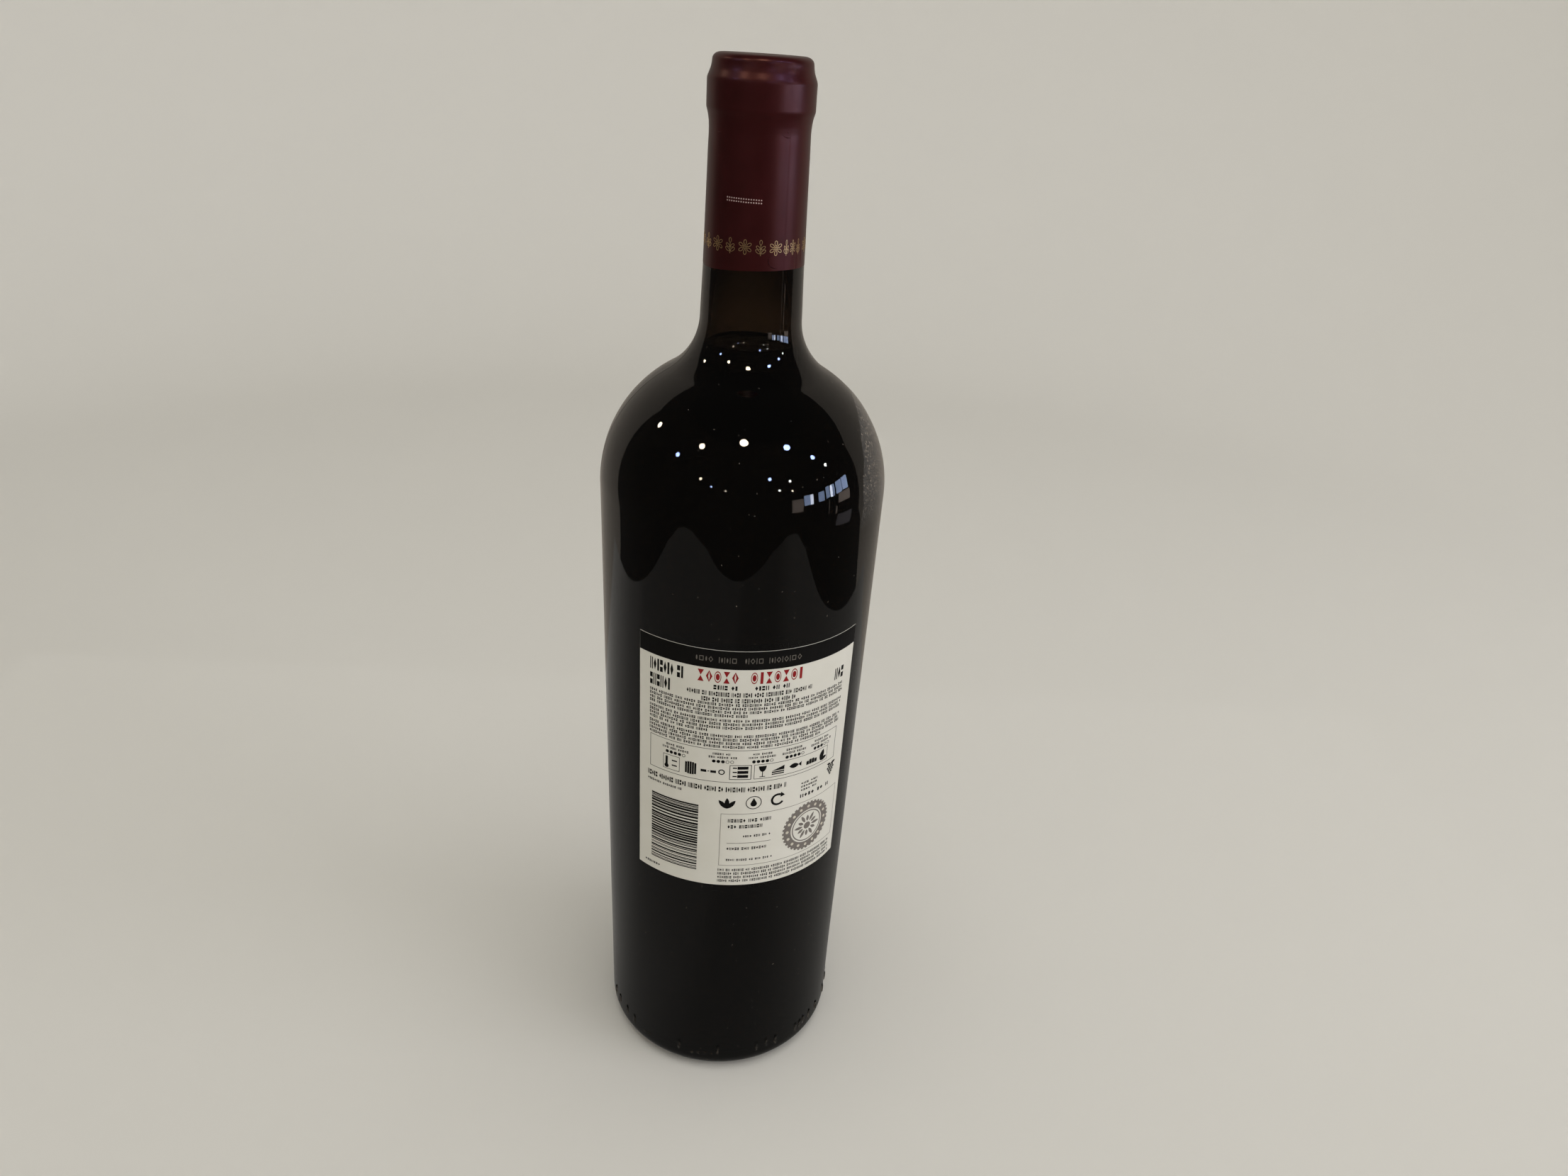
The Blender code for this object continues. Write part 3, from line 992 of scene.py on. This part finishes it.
def paper_sheet(name, label, node):
    """The label's paper, cut square."""
    width, height, low, facing = label
    rows = [low + height * i / 16 for i in range(1, 16)]
    sheet = laid_shapes(name, [(bar, -width / 2, low, width / 2, low + height, PAPER), (cut, 1, rows)],
                        width, on_glass(facing, CREAM_PAPER))
    smoothed(sheet, 40.0)
    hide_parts(node)
    return sheet


def band_over(name, label):
    """The black band printed along the label's top. A hair of paper shows above it."""
    width, height, low, facing = label
    side, top = width / 2 - 0.05, low + height
    return laid_shapes(name, [(bar, -side, top - BAND_HEIGHT, side, top - 0.09),
                              (cut, 1, [top - 4.7, top - 2.4])], width, on_glass(facing, BLACK_INK))


def printed(name, label, ink, work, marks=None, seed=None):
    """A piece of print on a label: lines of marks, or else flat work in steps."""
    width, _, _, facing = label
    if marks is None:
        return laid_shapes(name, work, width, on_glass(facing, ink))
    tools, widths = marks
    return laid_marks(name, greeked(work, widths, seed), tools, on_glass(facing, ink))


# The back label's lines of print: left, right, low edge, height, pitch
BAND_LINES = [(-19.9, -6.2, 192.2, 2.2, 2.1), (-3.6, 19.4, 192.2, 2.2, 2.1)]
HEADING_LINES = [(-19.2, -4.0, 184.5, 4.5, 2.75), (-1.4, 18.2, 184.5, 4.5, 2.75)]
BOLD_LINES = [(-13.6, -4.6, 181.9, 1.7, 1.35), (0.2, 12.4, 181.9, 1.7, 1.35),
              (-37.0, -23.4, 184.0, 4.6, 1.5), (-37.0, -27.4, 178.0, 4.6, 1.5),
              (31.6, 36.9, 178.6, 4.6, 1.7)]
SUBHEADING_LINES = [(-22.7, 21.0, 179.3, 1.7, 0.86), (-17.6, 16.0, 177.0, 1.7, 0.86)]
STORY_LINES = [(-37.0, right, 175.6 - 1.46 * i - 0.45 * (i // 4), 1.08, 0.90)
               for i, right in enumerate((36.9, 36.9, 36.9, -1.6, 36.9, 36.9, 36.9, -14.3,
                                          36.9, 36.9, 36.9, 27.4))]
COLUMN_MIDDLES = (-26.3, -9.3, 4.5, 16.5, 28.2)
COLUMN_LINES = [(x - half, x + half, y, 0.85, 0.86) for x in COLUMN_MIDDLES
                for half, y in ((3.6, 155.7), (5.0, 154.3))]
RETURN_LINES = [(-37.6, 14.0, 140.2, 2.1, 0.94), (-37.6, -23.4, 138.1, 0.9, 0.8)]
CORNER_LINES = [(20.2, 28.6, y, 0.8, 1.2) for y in (139.0, 137.5, 136.0)]
CORNER_LINES += [(20.2, 35.6, 133.0, 1.5, 1.8)]
SEAL_LINES = [(-6.6, 9.4, 126.9, 1.5, 1.15), (-6.6, 6.2, 124.2, 1.5, 1.15),
              (-1.0, 9.4, 120.1, 0.95, 0.9), (-6.6, 8.0, 114.4, 1.2, 1.0),
              (-6.6, 10.6, 109.4, 0.9, 0.85)]
FOOT_LINES = [(-9.4, 38.6, y, 1.1, 0.8) for y in (104.6, 102.9, 101.2, 99.5)]
FOOT_LINES += [(-38.6, -31.2, 100.4, 0.9, 1.1)]
FINE_LINES = (SUBHEADING_LINES + STORY_LINES + COLUMN_LINES + RETURN_LINES + CORNER_LINES
              + SEAL_LINES + FOOT_LINES)


def score_dots(flat):
    """Five dots under each column of the info box, filled up to a mark and hollow after it."""
    for x, filled in zip(COLUMN_MIDDLES, (4, 3, 4, 4, 3)):
        for i in range(5):
            centre = x + (i - 2) * 1.57
            if i < filled:
                disc(flat, centre, 153.0, 0.64, INK, 14)
            else:
                hoop(flat, centre, 153.0, 0.47, 0.64, INK, 14)


def wine_glass(flat, x, low, height):
    """A stemmed glass as a pictogram."""
    slab(flat, arc((x, low + height), height * 0.30, 180.0, 360.0, 12, height * 0.52))
    bar(flat, x - 0.14, low + 0.25, x + 0.14, low + height * 0.52)
    bar(flat, x - height * 0.22, low, x + height * 0.22, low + 0.25)


def lying_jars(flat, left, low, width, height):
    """Three lying jars with short necks, one above the other."""
    tall = height * 0.24
    for i in range(3):
        y = low + height * (0.04 + 0.35 * i)
        bar(flat, left + width * 0.30, y, left + width, y + tall)
        bar(flat, left, y + tall * 0.3, left + width * 0.27, y + tall * 0.7)


def fish(flat, x, y, length):
    """A fish as a pictogram: a lens and a tail."""
    leaf(flat, x - length / 2, y, length * 0.78, length * 0.42, 0.0)
    tail = length / 2
    slab(flat, [(x + tail * 0.50, y), (x + tail, y - tail * 0.42), (x + tail, y + tail * 0.42)])


def cheese(flat, x, low, width):
    """A wedge of cheese as a pictogram: a slope over two cut slices."""
    slab(flat, [(x, low + width * 0.36), (x + width, low + width * 0.36),
                (x + width, low + width * 0.74)])
    bar(flat, x, low + width * 0.17, x + width, low + width * 0.29)
    bar(flat, x, low, x + width, low + width * 0.10)


def loaf(flat, x, low, width):
    """A loaf as a pictogram, with three cuts across its crust."""
    for i in range(4):
        left, right = x + width * i / 4 + 0.06, x + width * i / 4 + width / 4 - 0.06
        rise = width * (0.34 if i in (0, 3) else 0.44)
        slab(flat, [(left, low), (right, low), (right, low + rise * 0.9),
                    (x + width * i / 4 + width / 8, low + rise), (left, low + rise * 0.9)])


def cask(flat, x, low, width, height):
    """A cask as a pictogram, in five staves."""
    for i, bulge in enumerate((0.0, 0.05, 0.07, 0.05, 0.0)):
        left, more = x + width * i / 5, bulge * height
        bar(flat, left + 0.07, low - more, left + width / 5 - 0.07, low + height + more)


def bunch(flat, x, y, counts, pitch, row_pitch, radius, sides):
    """Berries in rows that narrow downwards."""
    for row, count in enumerate(counts):
        for i in range(count):
            disc(flat, x + (i - (count - 1) / 2) * pitch, y - row * row_pitch, radius, INK, sides)


def striped_field(flat):
    """A field of bars of mixed height over the label's lower left."""
    chance = random.Random(23)
    y = 103.9
    while y < 133.0:
        thick = chance.choice((0.22, 0.22, 0.42, 0.42, 0.66, 0.86))
        bar(flat, -35.7, y, -17.2, y + thick)
        y += thick + chance.choice((0.24, 0.24, 0.42, 0.6))


SIGN_HEIGHT = 135.4
# The ruled box with its scores and the row of pictograms under them
INFO_BOX = [
    (box_line, -36.6, 144.3, 35.8, 157.9, 0.16), (score_dots,),
    (box_line, -31.0, 145.6, -24.6, 151.7, 0.16), (bar, -30.1, 146.6, -29.2, 150.9),
    (disc, -29.65, 146.9, 0.85, INK, 14), (bar, -27.6, 149.4, -25.6, 149.9),
    (bar, -27.6, 147.4, -25.6, 147.9), (cask, -22.6, 146.3, 4.2, 4.6),
    (bar, -16.9, 148.0, -14.9, 149.0), (bar, -14.5, 148.4, -13.9, 148.7),
    (bar, -13.5, 148.0, -11.5, 149.0), (hoop, -9.6, 148.6, 0.75, 1.15, INK, 16),
    (box_line, -6.9, 145.6, 0.7, 151.7, 0.22), (lying_jars, -5.8, 146.2, 5.4, 5.0),
    (box_line, 1.6, 145.6, 31.6, 151.7, 0.16), (wine_glass, 4.6, 146.3, 4.6),
    (cheese, 8.0, 146.6, 4.6), (fish, 17.0, 148.6, 4.9), (loaf, 21.6, 147.0, 4.8),
    (leaf, 28.2, 146.4, 4.6, 2.1, 74.0), (leaf, 28.2, 146.4, 3.2, 1.5, 20.0),
]
# Three plain round signs: leaves, a drop and a turning ring
ROUND_SIGNS = [(leaf, -7.2, SIGN_HEIGHT - 2.4, 4.6, 1.7, turn) for turn in (50.0, 90.0, 130.0)]
ROUND_SIGNS += [
    (hoop, 2.2, SIGN_HEIGHT, 2.55, 2.85, INK, 36),
    (slab, [(2.2, SIGN_HEIGHT + 2.0)] + arc((2.2, SIGN_HEIGHT - 0.5), 1.15, 150.0, 390.0, 14)),
    (hoop, 11.0, SIGN_HEIGHT, 1.75, 2.6, INK, 24, 60.0, 330.0),
    (slab, [(12.1, SIGN_HEIGHT + 3.0), (12.0, SIGN_HEIGHT + 0.8), (13.7, SIGN_HEIGHT + 1.5)]),
]
# A bunch of berries under two leaves
GRAPE_SIGN = [(bunch, 34.6, 141.2, (3, 4, 3, 2, 1), 1.05, 0.92, 0.47, 10),
              (leaf, 34.6, 141.9, 2.6, 1.1, 12.0), (leaf, 34.6, 141.9, 2.2, 1.0, 165.0)]
SEAL_BOX = [(box_line, -9.2, 107.2, 39.4, 130.7, 0.16), (bar, -6.6, 117.4, 9.4, 117.6)]

# A plain round seal: a toothed ring with studs, a thin ring and a sun of twelve rays
SEAL_AT = (24.6, 118.9)
SUN_SEAL = [(hoop, *SEAL_AT, 7.3, 10.2, INK, 72)]
SUN_SEAL += [(hoop, *SEAL_AT, 10.2, 10.75, INK, 1, 10.0 * i, 10.0 * i + 5.4) for i in range(36)]
SUN_SEAL += [(hoop, *SEAL_AT, 6.3, 6.75, INK, 60), (disc, *SEAL_AT, 1.5, INK, 24)]
SUN_SEAL += [(leaf, *polar(2.0, 30.0 * i, *SEAL_AT), (3.7, 2.7)[i % 2], 1.25, 30.0 * i)
             for i in range(12)]
SEAL_STUDS = [(disc, *polar(8.75, 22.5 * i, *SEAL_AT), 0.62, ON_INK, 12) for i in range(16)]

# The front label's lines of print
FRONT_BAND_LINES = [(-16.0, 16.0, 191.9, 2.4, 2.3)]
FRONT_HEADING = [(-31.0, -3.4, 138.6, 6.2, 4.4), (1.2, 31.4, 138.6, 6.2, 4.4)]
FRONT_LINES = [(-22.0, 22.0, 132.6, 2.0, 1.7), (-15.0, 15.0, 127.4, 1.6, 1.35),
               (-36.0, -22.6, 98.4, 1.6, 1.2), (24.0, 36.4, 98.4, 1.6, 1.2),
               (-17.0, 17.0, 98.4, 1.4, 1.15), (-11.0, 11.0, 104.0, 1.4, 1.15)]

# A thin double rule round the front label's field, and a rule with a lozenge under its lines
FRONT_BORDER = [
    (box_line, -42.6, 94.8, 42.6, 187.2, 0.30), (box_line, -41.6, 95.8, 41.6, 186.2, 0.14),
    (bar, -24.0, 123.6, -3.0, 123.8), (bar, 3.0, 123.6, 24.0, 123.8),
    (slab, [(-1.7, 123.7), (0.0, 122.4), (1.7, 123.7), (0.0, 125.0)]),
]
# A wreath of leaves round a bunch of berries, for the front label's middle
WREATH_HEIGHT = 165.6
VINE_WREATH = [(hoop, 0.0, WREATH_HEIGHT, 12.9, 13.15, INK, 72)]
VINE_WREATH += [(leaf, *polar(13.0, 15.0 * i, 0.0, WREATH_HEIGHT), 3.9, 1.7,
                 15.0 * i + 90.0 + (-48.0, 48.0)[i % 2]) for i in range(24)]
VINE_WREATH += [
    (bunch, 0.0, WREATH_HEIGHT + 3.2, (4, 5, 4, 3, 2, 1), 2.3, 2.0, 1.02, 16),
    (leaf, 0.0, WREATH_HEIGHT + 4.8, 5.6, 2.6, 18.0),
    (leaf, 0.0, WREATH_HEIGHT + 4.8, 5.6, 2.6, 162.0),
    (bar, -0.25, WREATH_HEIGHT + 4.4, 0.25, WREATH_HEIGHT + 8.4),
]
# A red field between two thin bars, and pale lozenges in a row on it
RED_FIELD = [(bar, -30.0, low, 30.0, high)
             for low, high in ((110.4, 119.6), (109.2, 109.6), (120.4, 120.8))]
FIELD_LOZENGES = [(slab, [(x - 2.0, 115.0), (x, 112.2), (x + 2.0, 115.0), (x, 117.8)], ON_INK)
                  for x in ((i - 4) * 6.2 for i in range(9))]

paper_pieces = []
for side, label in (("back", BACK_LABEL), ("front", FRONT_LABEL)):
    paper_pieces += [paper_sheet(side + "_label_paper", label, side + "_label"),
                     band_over(side + "_label_band", label)]
print_pieces = [printed(*work) for work in (
    ("back_label_band_marks", BACK_LABEL, BAND_GREY_INK, BAND_LINES, BAND, 3),
    ("back_label_red_heading", BACK_LABEL, RED_INK, HEADING_LINES, HEAVY, 5),
    ("back_label_bold_lines", BACK_LABEL, BLACK_INK, BOLD_LINES, FINE, 8),
    ("back_label_fine_lines", BACK_LABEL, SOFT_BLACK_INK, FINE_LINES, FINE, 9),
    ("back_label_signs", BACK_LABEL, BLACK_INK,
     [*INFO_BOX, *ROUND_SIGNS, *GRAPE_SIGN, (striped_field,)]),
    ("back_label_seal_box", BACK_LABEL, GREY_INK, SEAL_BOX),
    ("back_label_seal", BACK_LABEL, GREY_INK, SUN_SEAL),
    ("back_label_seal_studs", BACK_LABEL, PALE_INK, SEAL_STUDS),
    ("front_label_band_marks", FRONT_LABEL, BAND_GREY_INK, FRONT_BAND_LINES, BAND, 13),
    ("front_label_heading", FRONT_LABEL, BLACK_INK, FRONT_HEADING, HEAVY, 15),
    ("front_label_lines", FRONT_LABEL, SOFT_BLACK_INK, FRONT_LINES, FINE, 18),
    ("front_label_border", FRONT_LABEL, GREY_INK, FRONT_BORDER),
    ("front_label_wreath", FRONT_LABEL, BLACK_INK, VINE_WREATH),
    ("front_label_red_field", FRONT_LABEL, RED_INK, RED_FIELD),
    ("front_label_lozenges", FRONT_LABEL, PALE_INK, FIELD_LOZENGES),
)]


# Marks that the mould leaves at the foot

# Turns from the viewer's side at which upright ticks stand on the heel's near half
NEAR_TICKS = [76.5, 63.9, 56.6, 51.2, 48.4, 45.1, 31.8, 26.5, 21.1, 1.1, -18.9, -48.0, -54.7, -63.5,
              -70.0]
# Groups of ticks further round, and of dots, each by its first turn and how many stand in it
FAR_TICKS = ((84.0, 9), (150.0, 7), (205.0, 10))
DOTS = ((-12.0, 4), (-40.0, 2), (136.0, 4))
DOT, TICK = 0, 1


def heel_rows():
    """Upright ticks and dots in groups round the heel."""
    chance = random.Random(31)
    ticks = NEAR_TICKS + [start + 5.4 * i for start, count in FAR_TICKS for i in range(count)]
    rows = [(math.radians(turn) * FOOT_RADIUS, 11.0 + chance.uniform(-0.5, 0.8), 1.2, 5.2, TICK)
            for turn in ticks]
    rows += [(math.radians(start + 3.3 * i) * FOOT_RADIUS, 8.6 + 0.4 * (i % 3), 1.2, 1.2, DOT)
             for start, count in DOTS for i in range(count)]
    return rows


def studded(flat, segments, rings, shape):
    """A ball of radius 1 with each of its points moved by shape."""
    ball = bmesh.ops.create_uvsphere(flat, u_segments=segments, v_segments=rings, radius=1.0)
    for vertex in ball["verts"]:
        vertex.co = shape(*vertex.co)


def round_stud(x, y, z):
    """A lens that stands half a millimetre proud of the glass and reaches as far into it."""
    return x * 0.5, y * 0.5, z * 0.5 * MM


def long_stud(x, y, z):
    """The same, but even along its length and blunt at its ends."""
    return x * 0.5, math.copysign(abs(z) ** 0.5, z) * 0.5, y * 0.5 * MM


def foot_ridge(x, y, z):
    """One of the short ridges that keep a hot bottle off the belt, low on the heel."""
    lean = math.radians(-62.0)
    out = Vector((math.cos(lean), 0.0, math.sin(lean)))
    along = Vector((-math.sin(lean), 0.0, math.cos(lean)))
    centre = Vector((FOOT_RADIUS - HEEL_CURVE, 0.0, HEEL_CURVE)) + out * HEEL_CURVE
    return (centre + along * x + Vector((0.0, y * 0.34, 0.0)) + out * z * 0.2) * MM


studs = [flat_piece("round_stud", [(studded, 12, 8, round_stud)]),
         flat_piece("long_stud", [(studded, 10, 10, long_stud)])]
heel_marks = laid_marks("heel_mould_marks", heel_rows(), studs, on_glass(VIEWER_TURN, GLASS))
smoothed(heel_marks)

ridge = flat_piece("foot_ridge", [(studded, 8, 5, foot_ridge)])
foot_ridges = run_tree(placed("foot_ridges", bpy.data.meshes.new("foot_ridges")),
                       copies_round_axis, {"Copy": ridge, "Count": 72, "Finish": GLASS})

for tool in stamps + FINE[0] + HEAVY[0] + BAND[0] + [jet_dot] + studs + [ridge]:
    bpy.data.objects.remove(tool)


# Every piece rides on the bottle's one body

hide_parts("glass_bottle")
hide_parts("wine")
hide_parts("capsule")
for piece in [glass, wine, capsule, crease_ridges, ornaments, jet_rows, heel_marks, foot_ridges,
              *paper_pieces, *print_pieces]:
    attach(piece, "root")


# Floor, soft light and what the glass mirrors

STAGE_TURN = 8.5  # the stage stands turned this much to the bottle
RAYS = ("camera", "diffuse", "glossy", "transmission", "volume_scatter", "shadow")


def on_stage(x, y, z):
    """A place in the stage's own axes, in metres, as a place in the bottle's."""
    cosine, sine = polar(1.0, STAGE_TURN)
    return x * cosine + y * sine, y * cosine - x * sine, z


def seen_by(thing, *rays):
    """Only these rays see the thing."""
    for ray in RAYS:
        setattr(thing, "visible_" + ray, ray in rays)


def glow(name, colour, strength):
    """A card that shines evenly."""
    material = bpy.data.materials.new(name)
    material.use_nodes = True
    tree = material.node_tree
    tree.nodes.remove(tree.nodes["Principled BSDF"])
    light = add(tree, "ShaderNodeEmission", None, {"Color": linear(colour), "Strength": strength})
    feed(tree, tree.nodes["Material Output"], {"Surface": light})
    return material


def dim_floor_glow():
    """The dim floor that the glass mirrors: painted light and shade in its glow, brighter to both sides
    and behind the bottle.
    """
    material = glow("dim_card_below", "#fffaf1", 1.0)
    tree = material.node_tree
    at = add(tree, SEPARATE, None, (add(tree, PLACE).outputs["Object"],)).outputs
    to_right = add(tree, MATHS, TIMES_PLUS, (at["Y"], 0.4, at["X"]))
    right = add(tree, RANGE, SMOOTH, (to_right, -0.03, 0.13, 0.118, 0.185))
    to_left = add(tree, RANGE, SMOOTH, (at["X"], -0.07, -0.02, 0.085, 0.0))
    farther = add(tree, RANGE, SMOOTH, (at["Y"], -0.03, 0.04, 0.4, 1.0))
    left = add(tree, MATHS, TIMES, (to_left, farther))
    behind = add(tree, RANGE, SMOOTH, (at["Y"], 0.03, 0.30, 0.0, 0.14))
    sides = add(tree, MATHS, PLUS, (right, left))
    feed(tree, tree.nodes["Emission"], {"Strength": add(tree, MATHS, PLUS, (sides, behind))})
    return material


def card(name, corners, material):
    """A flat card that only the bottle's gloss sees."""
    mesh = bpy.data.meshes.new(name)
    mesh.from_pydata(corners, [], [range(len(corners))])
    thing = placed(name, mesh, material)
    seen_by(thing, "glossy")


def pale_sweep():
    """A round floor that curves up into a wall, plain and pale."""
    floor_r, curve, top, low = 900.0, 500.0, 2300.0, -0.3
    outline = [(floor_r * i / 8, low) for i in range(1, 8)]
    outline += arc((floor_r, curve + low), curve, -90.0, 0.0, 16) + [(floor_r + curve, top)]
    sweep = bmesh.new()
    turns = even_turns(96)
    rings = [[sweep.verts.new(Vector((*polar(r, turn), z)) * MM) for turn in turns]
             for r, z in outline]
    middle = sweep.verts.new((0.0, 0.0, low * MM))
    for i in range(len(turns)):
        j = (i + 1) % len(turns)
        sweep.faces.new((middle, rings[0][i], rings[0][j]))
        for inner, outer in zip(rings, rings[1:]):
            sweep.faces.new((inner[i], outer[i], outer[j], inner[j]))
    floor = ended("pale_sweep", sweep, plain("pale_matt_floor", "#dddbd5", 0.9)[0])
    smoothed(floor)
    seen_by(floor, "camera", "diffuse", "transmission")


def soft_light(name, place, size, power, colour):
    """A large soft lamp that looks at the bottle and that gloss doesn't show."""
    light = bpy.data.lights.new(name, "AREA")
    light.shape = "RECTANGLE"
    light.size, light.size_y = size
    light.energy = power
    light.color = linear(colour)[:3]
    lamp = placed(name, light)
    aim = Vector((0.0, 0.0, 0.15)) - Vector(place)
    lamp.matrix_world = Matrix.Translation(place) @ aim.to_track_quat("-Z", "Y").to_matrix().to_4x4()
    seen_by(lamp, "diffuse", "volume_scatter", "shadow")


def ceiling_lamp(name, place, radius, brightness, colour):
    """A small lamp that only gloss shows: a bright point on the glass."""
    light = bpy.data.lights.new(name, "POINT")
    light.shadow_soft_size = radius
    light.energy = brightness * 4 * math.pi ** 2 * radius ** 2
    light.color = linear(colour)[:3]
    lamp = placed(name, light)
    lamp.location = place
    seen_by(lamp, "glossy", "volume_scatter", "shadow")


pale_sweep()
card("dim_card_below", [on_stage(x, y, 0.0) for x, y in
                        ((-0.44, -0.47), (0.41, -0.47), (0.41, 0.25), (-0.44, 0.25))],
     dim_floor_glow())
card("pale_card_behind", [on_stage(x, 0.25, z) for x, z in
                          ((-0.66, -0.1), (1.22, -0.1), (1.22, 0.70), (0.3, 0.74), (-0.66, 0.74))],
     glow("pale_card_behind", "#c9bfb2", 0.5))

# Daylight panes far to the right, by the turns from +Y clockwise and the slopes at which the
# bottle sees them from its shoulder, with their brightness
PANE_DISTANCE = 3.5
PANES_SEEN_FROM = 0.2
SKY, PALE_SKY, STONE, DUSK = "#a9bde6", "#e4ecff", "#b8a99f", "#a49ea2"
DAYLIGHT_PANES = (
    (98.2, 104.2, 0.8, 8.8, 8.0, SKY), (104.7, 110.8, 0.3, 8.5, 7.0, SKY),
    (97.2, 108.8, -6.0, 0.0, 2.6, STONE), (94.0, 109.0, -21.0, -13.5, 0.9, DUSK),
    (112.2, 114.4, 0.0, 8.0, 6.5, SKY), (114.4, 116.6, -0.2, 8.1, 17.0, PALE_SKY),
    (117.2, 120.8, 0.2, 8.3, 6.0, SKY), (122.4, 127.8, -0.6, 6.5, 6.0, SKY),
    (132.2, 134.8, -0.8, 6.5, 15.0, PALE_SKY), (134.8, 140.0, -0.8, 6.6, 6.5, SKY),
    (140.6, 149.5, -4.6, 5.0, 2.2, STONE), (117.6, 118.4, -11.0, -1.4, 1.3, STONE),
    (110.0, 111.4, -12.6, -7.6, 1.8, STONE),
)
for number, (start, end, low, high, brightness, colour) in enumerate(DAYLIGHT_PANES):
    corners = [(*polar(PANE_DISTANCE, turn)[::-1],
                PANES_SEEN_FROM + PANE_DISTANCE * math.tan(math.radians(slope)))
               for turn, slope in ((start, low), (end, low), (end, high), (start, high))]
    name = f"daylight_pane_{number}"
    card(name, corners, glow(name, colour, brightness))

# Small lamps overhead, by x, y and brightness
LAMP_HEIGHT, LAMP_RADIUS, MAIN_LAMP_RADIUS = 2.3, 0.12, 0.132
WARM, WHITE, BLUE = "#ffecd0", "#ffffff", "#a3b8ff"
CEILING_LAMPS = (
    (-0.24, -1.44, 55.0, WARM), (-1.77, -1.30, 40.0, WARM), (1.25, -1.59, 55.0, BLUE),
    (-3.45, -1.21, 45.0, BLUE), (2.84, -1.82, 45.0, BLUE), (4.60, -2.06, 35.0, WHITE),
    (-3.02, 0.93, 35.0, WARM), (-4.04, -4.29, 28.0, WARM), (1.11, -4.53, 45.0, BLUE),
    (2.89, -4.89, 30.0, WHITE), (-4.33, -6.52, 35.0, BLUE), (-3.25, -8.09, 30.0, WARM),
    (2.97, -7.71, 35.0, WHITE), (5.07, -8.29, 30.0, WARM),
)
for number, (x, y, brightness, colour) in enumerate(CEILING_LAMPS):
    radius = MAIN_LAMP_RADIUS if number == 0 else LAMP_RADIUS
    ceiling_lamp(f"ceiling_lamp_{number}", (x, y, LAMP_HEIGHT), radius, brightness, colour)

soft_light("overhead_softbox", (0.1, -0.5, 2.2), (1.8, 1.8), 21.0, "#fffefb")
soft_light("window_softbox", (1.7, -0.9, 0.5), (1.2, 0.8), 17.5, "#f8f8ff")

world = bpy.data.worlds.new("dim_surroundings")
world.use_nodes = True
feed(world.node_tree, world.node_tree.nodes["Background"],
     {"Color": linear("#3d3b38"), "Strength": 1.0})
bpy.context.scene.world = world
bpy.context.scene.view_settings.view_transform = "Standard"


# Camera: as the photo was taken, from above and slightly left, a little tilted

CAMERA_PLACE = (-0.0528, -0.3532, 0.37623)
HEADING, PITCH, ROLL = (math.radians(turn) for turn in (11.173, 26.692, 3.974))
SENSOR_WIDTH, LENS = 36.0, 25.362


def camera():
    forward = Vector((math.sin(HEADING) * math.cos(PITCH), math.cos(HEADING) * math.cos(PITCH),
                      -math.sin(PITCH)))
    level = Vector((math.cos(HEADING), -math.sin(HEADING), 0.0))
    upright = level.cross(forward)
    right = math.cos(ROLL) * level + math.sin(ROLL) * upright
    up = math.cos(ROLL) * upright - math.sin(ROLL) * level
    view = bpy.data.cameras.new("camera")
    view.sensor_width = SENSOR_WIDTH
    view.lens = LENS
    view.clip_start = 0.01
    eye = placed("camera", view)
    turn = Matrix((right, up, -forward)).transposed().to_4x4()
    eye.matrix_world = Matrix.Translation(CAMERA_PLACE) @ turn
    return eye


bpy.context.scene.camera = camera()
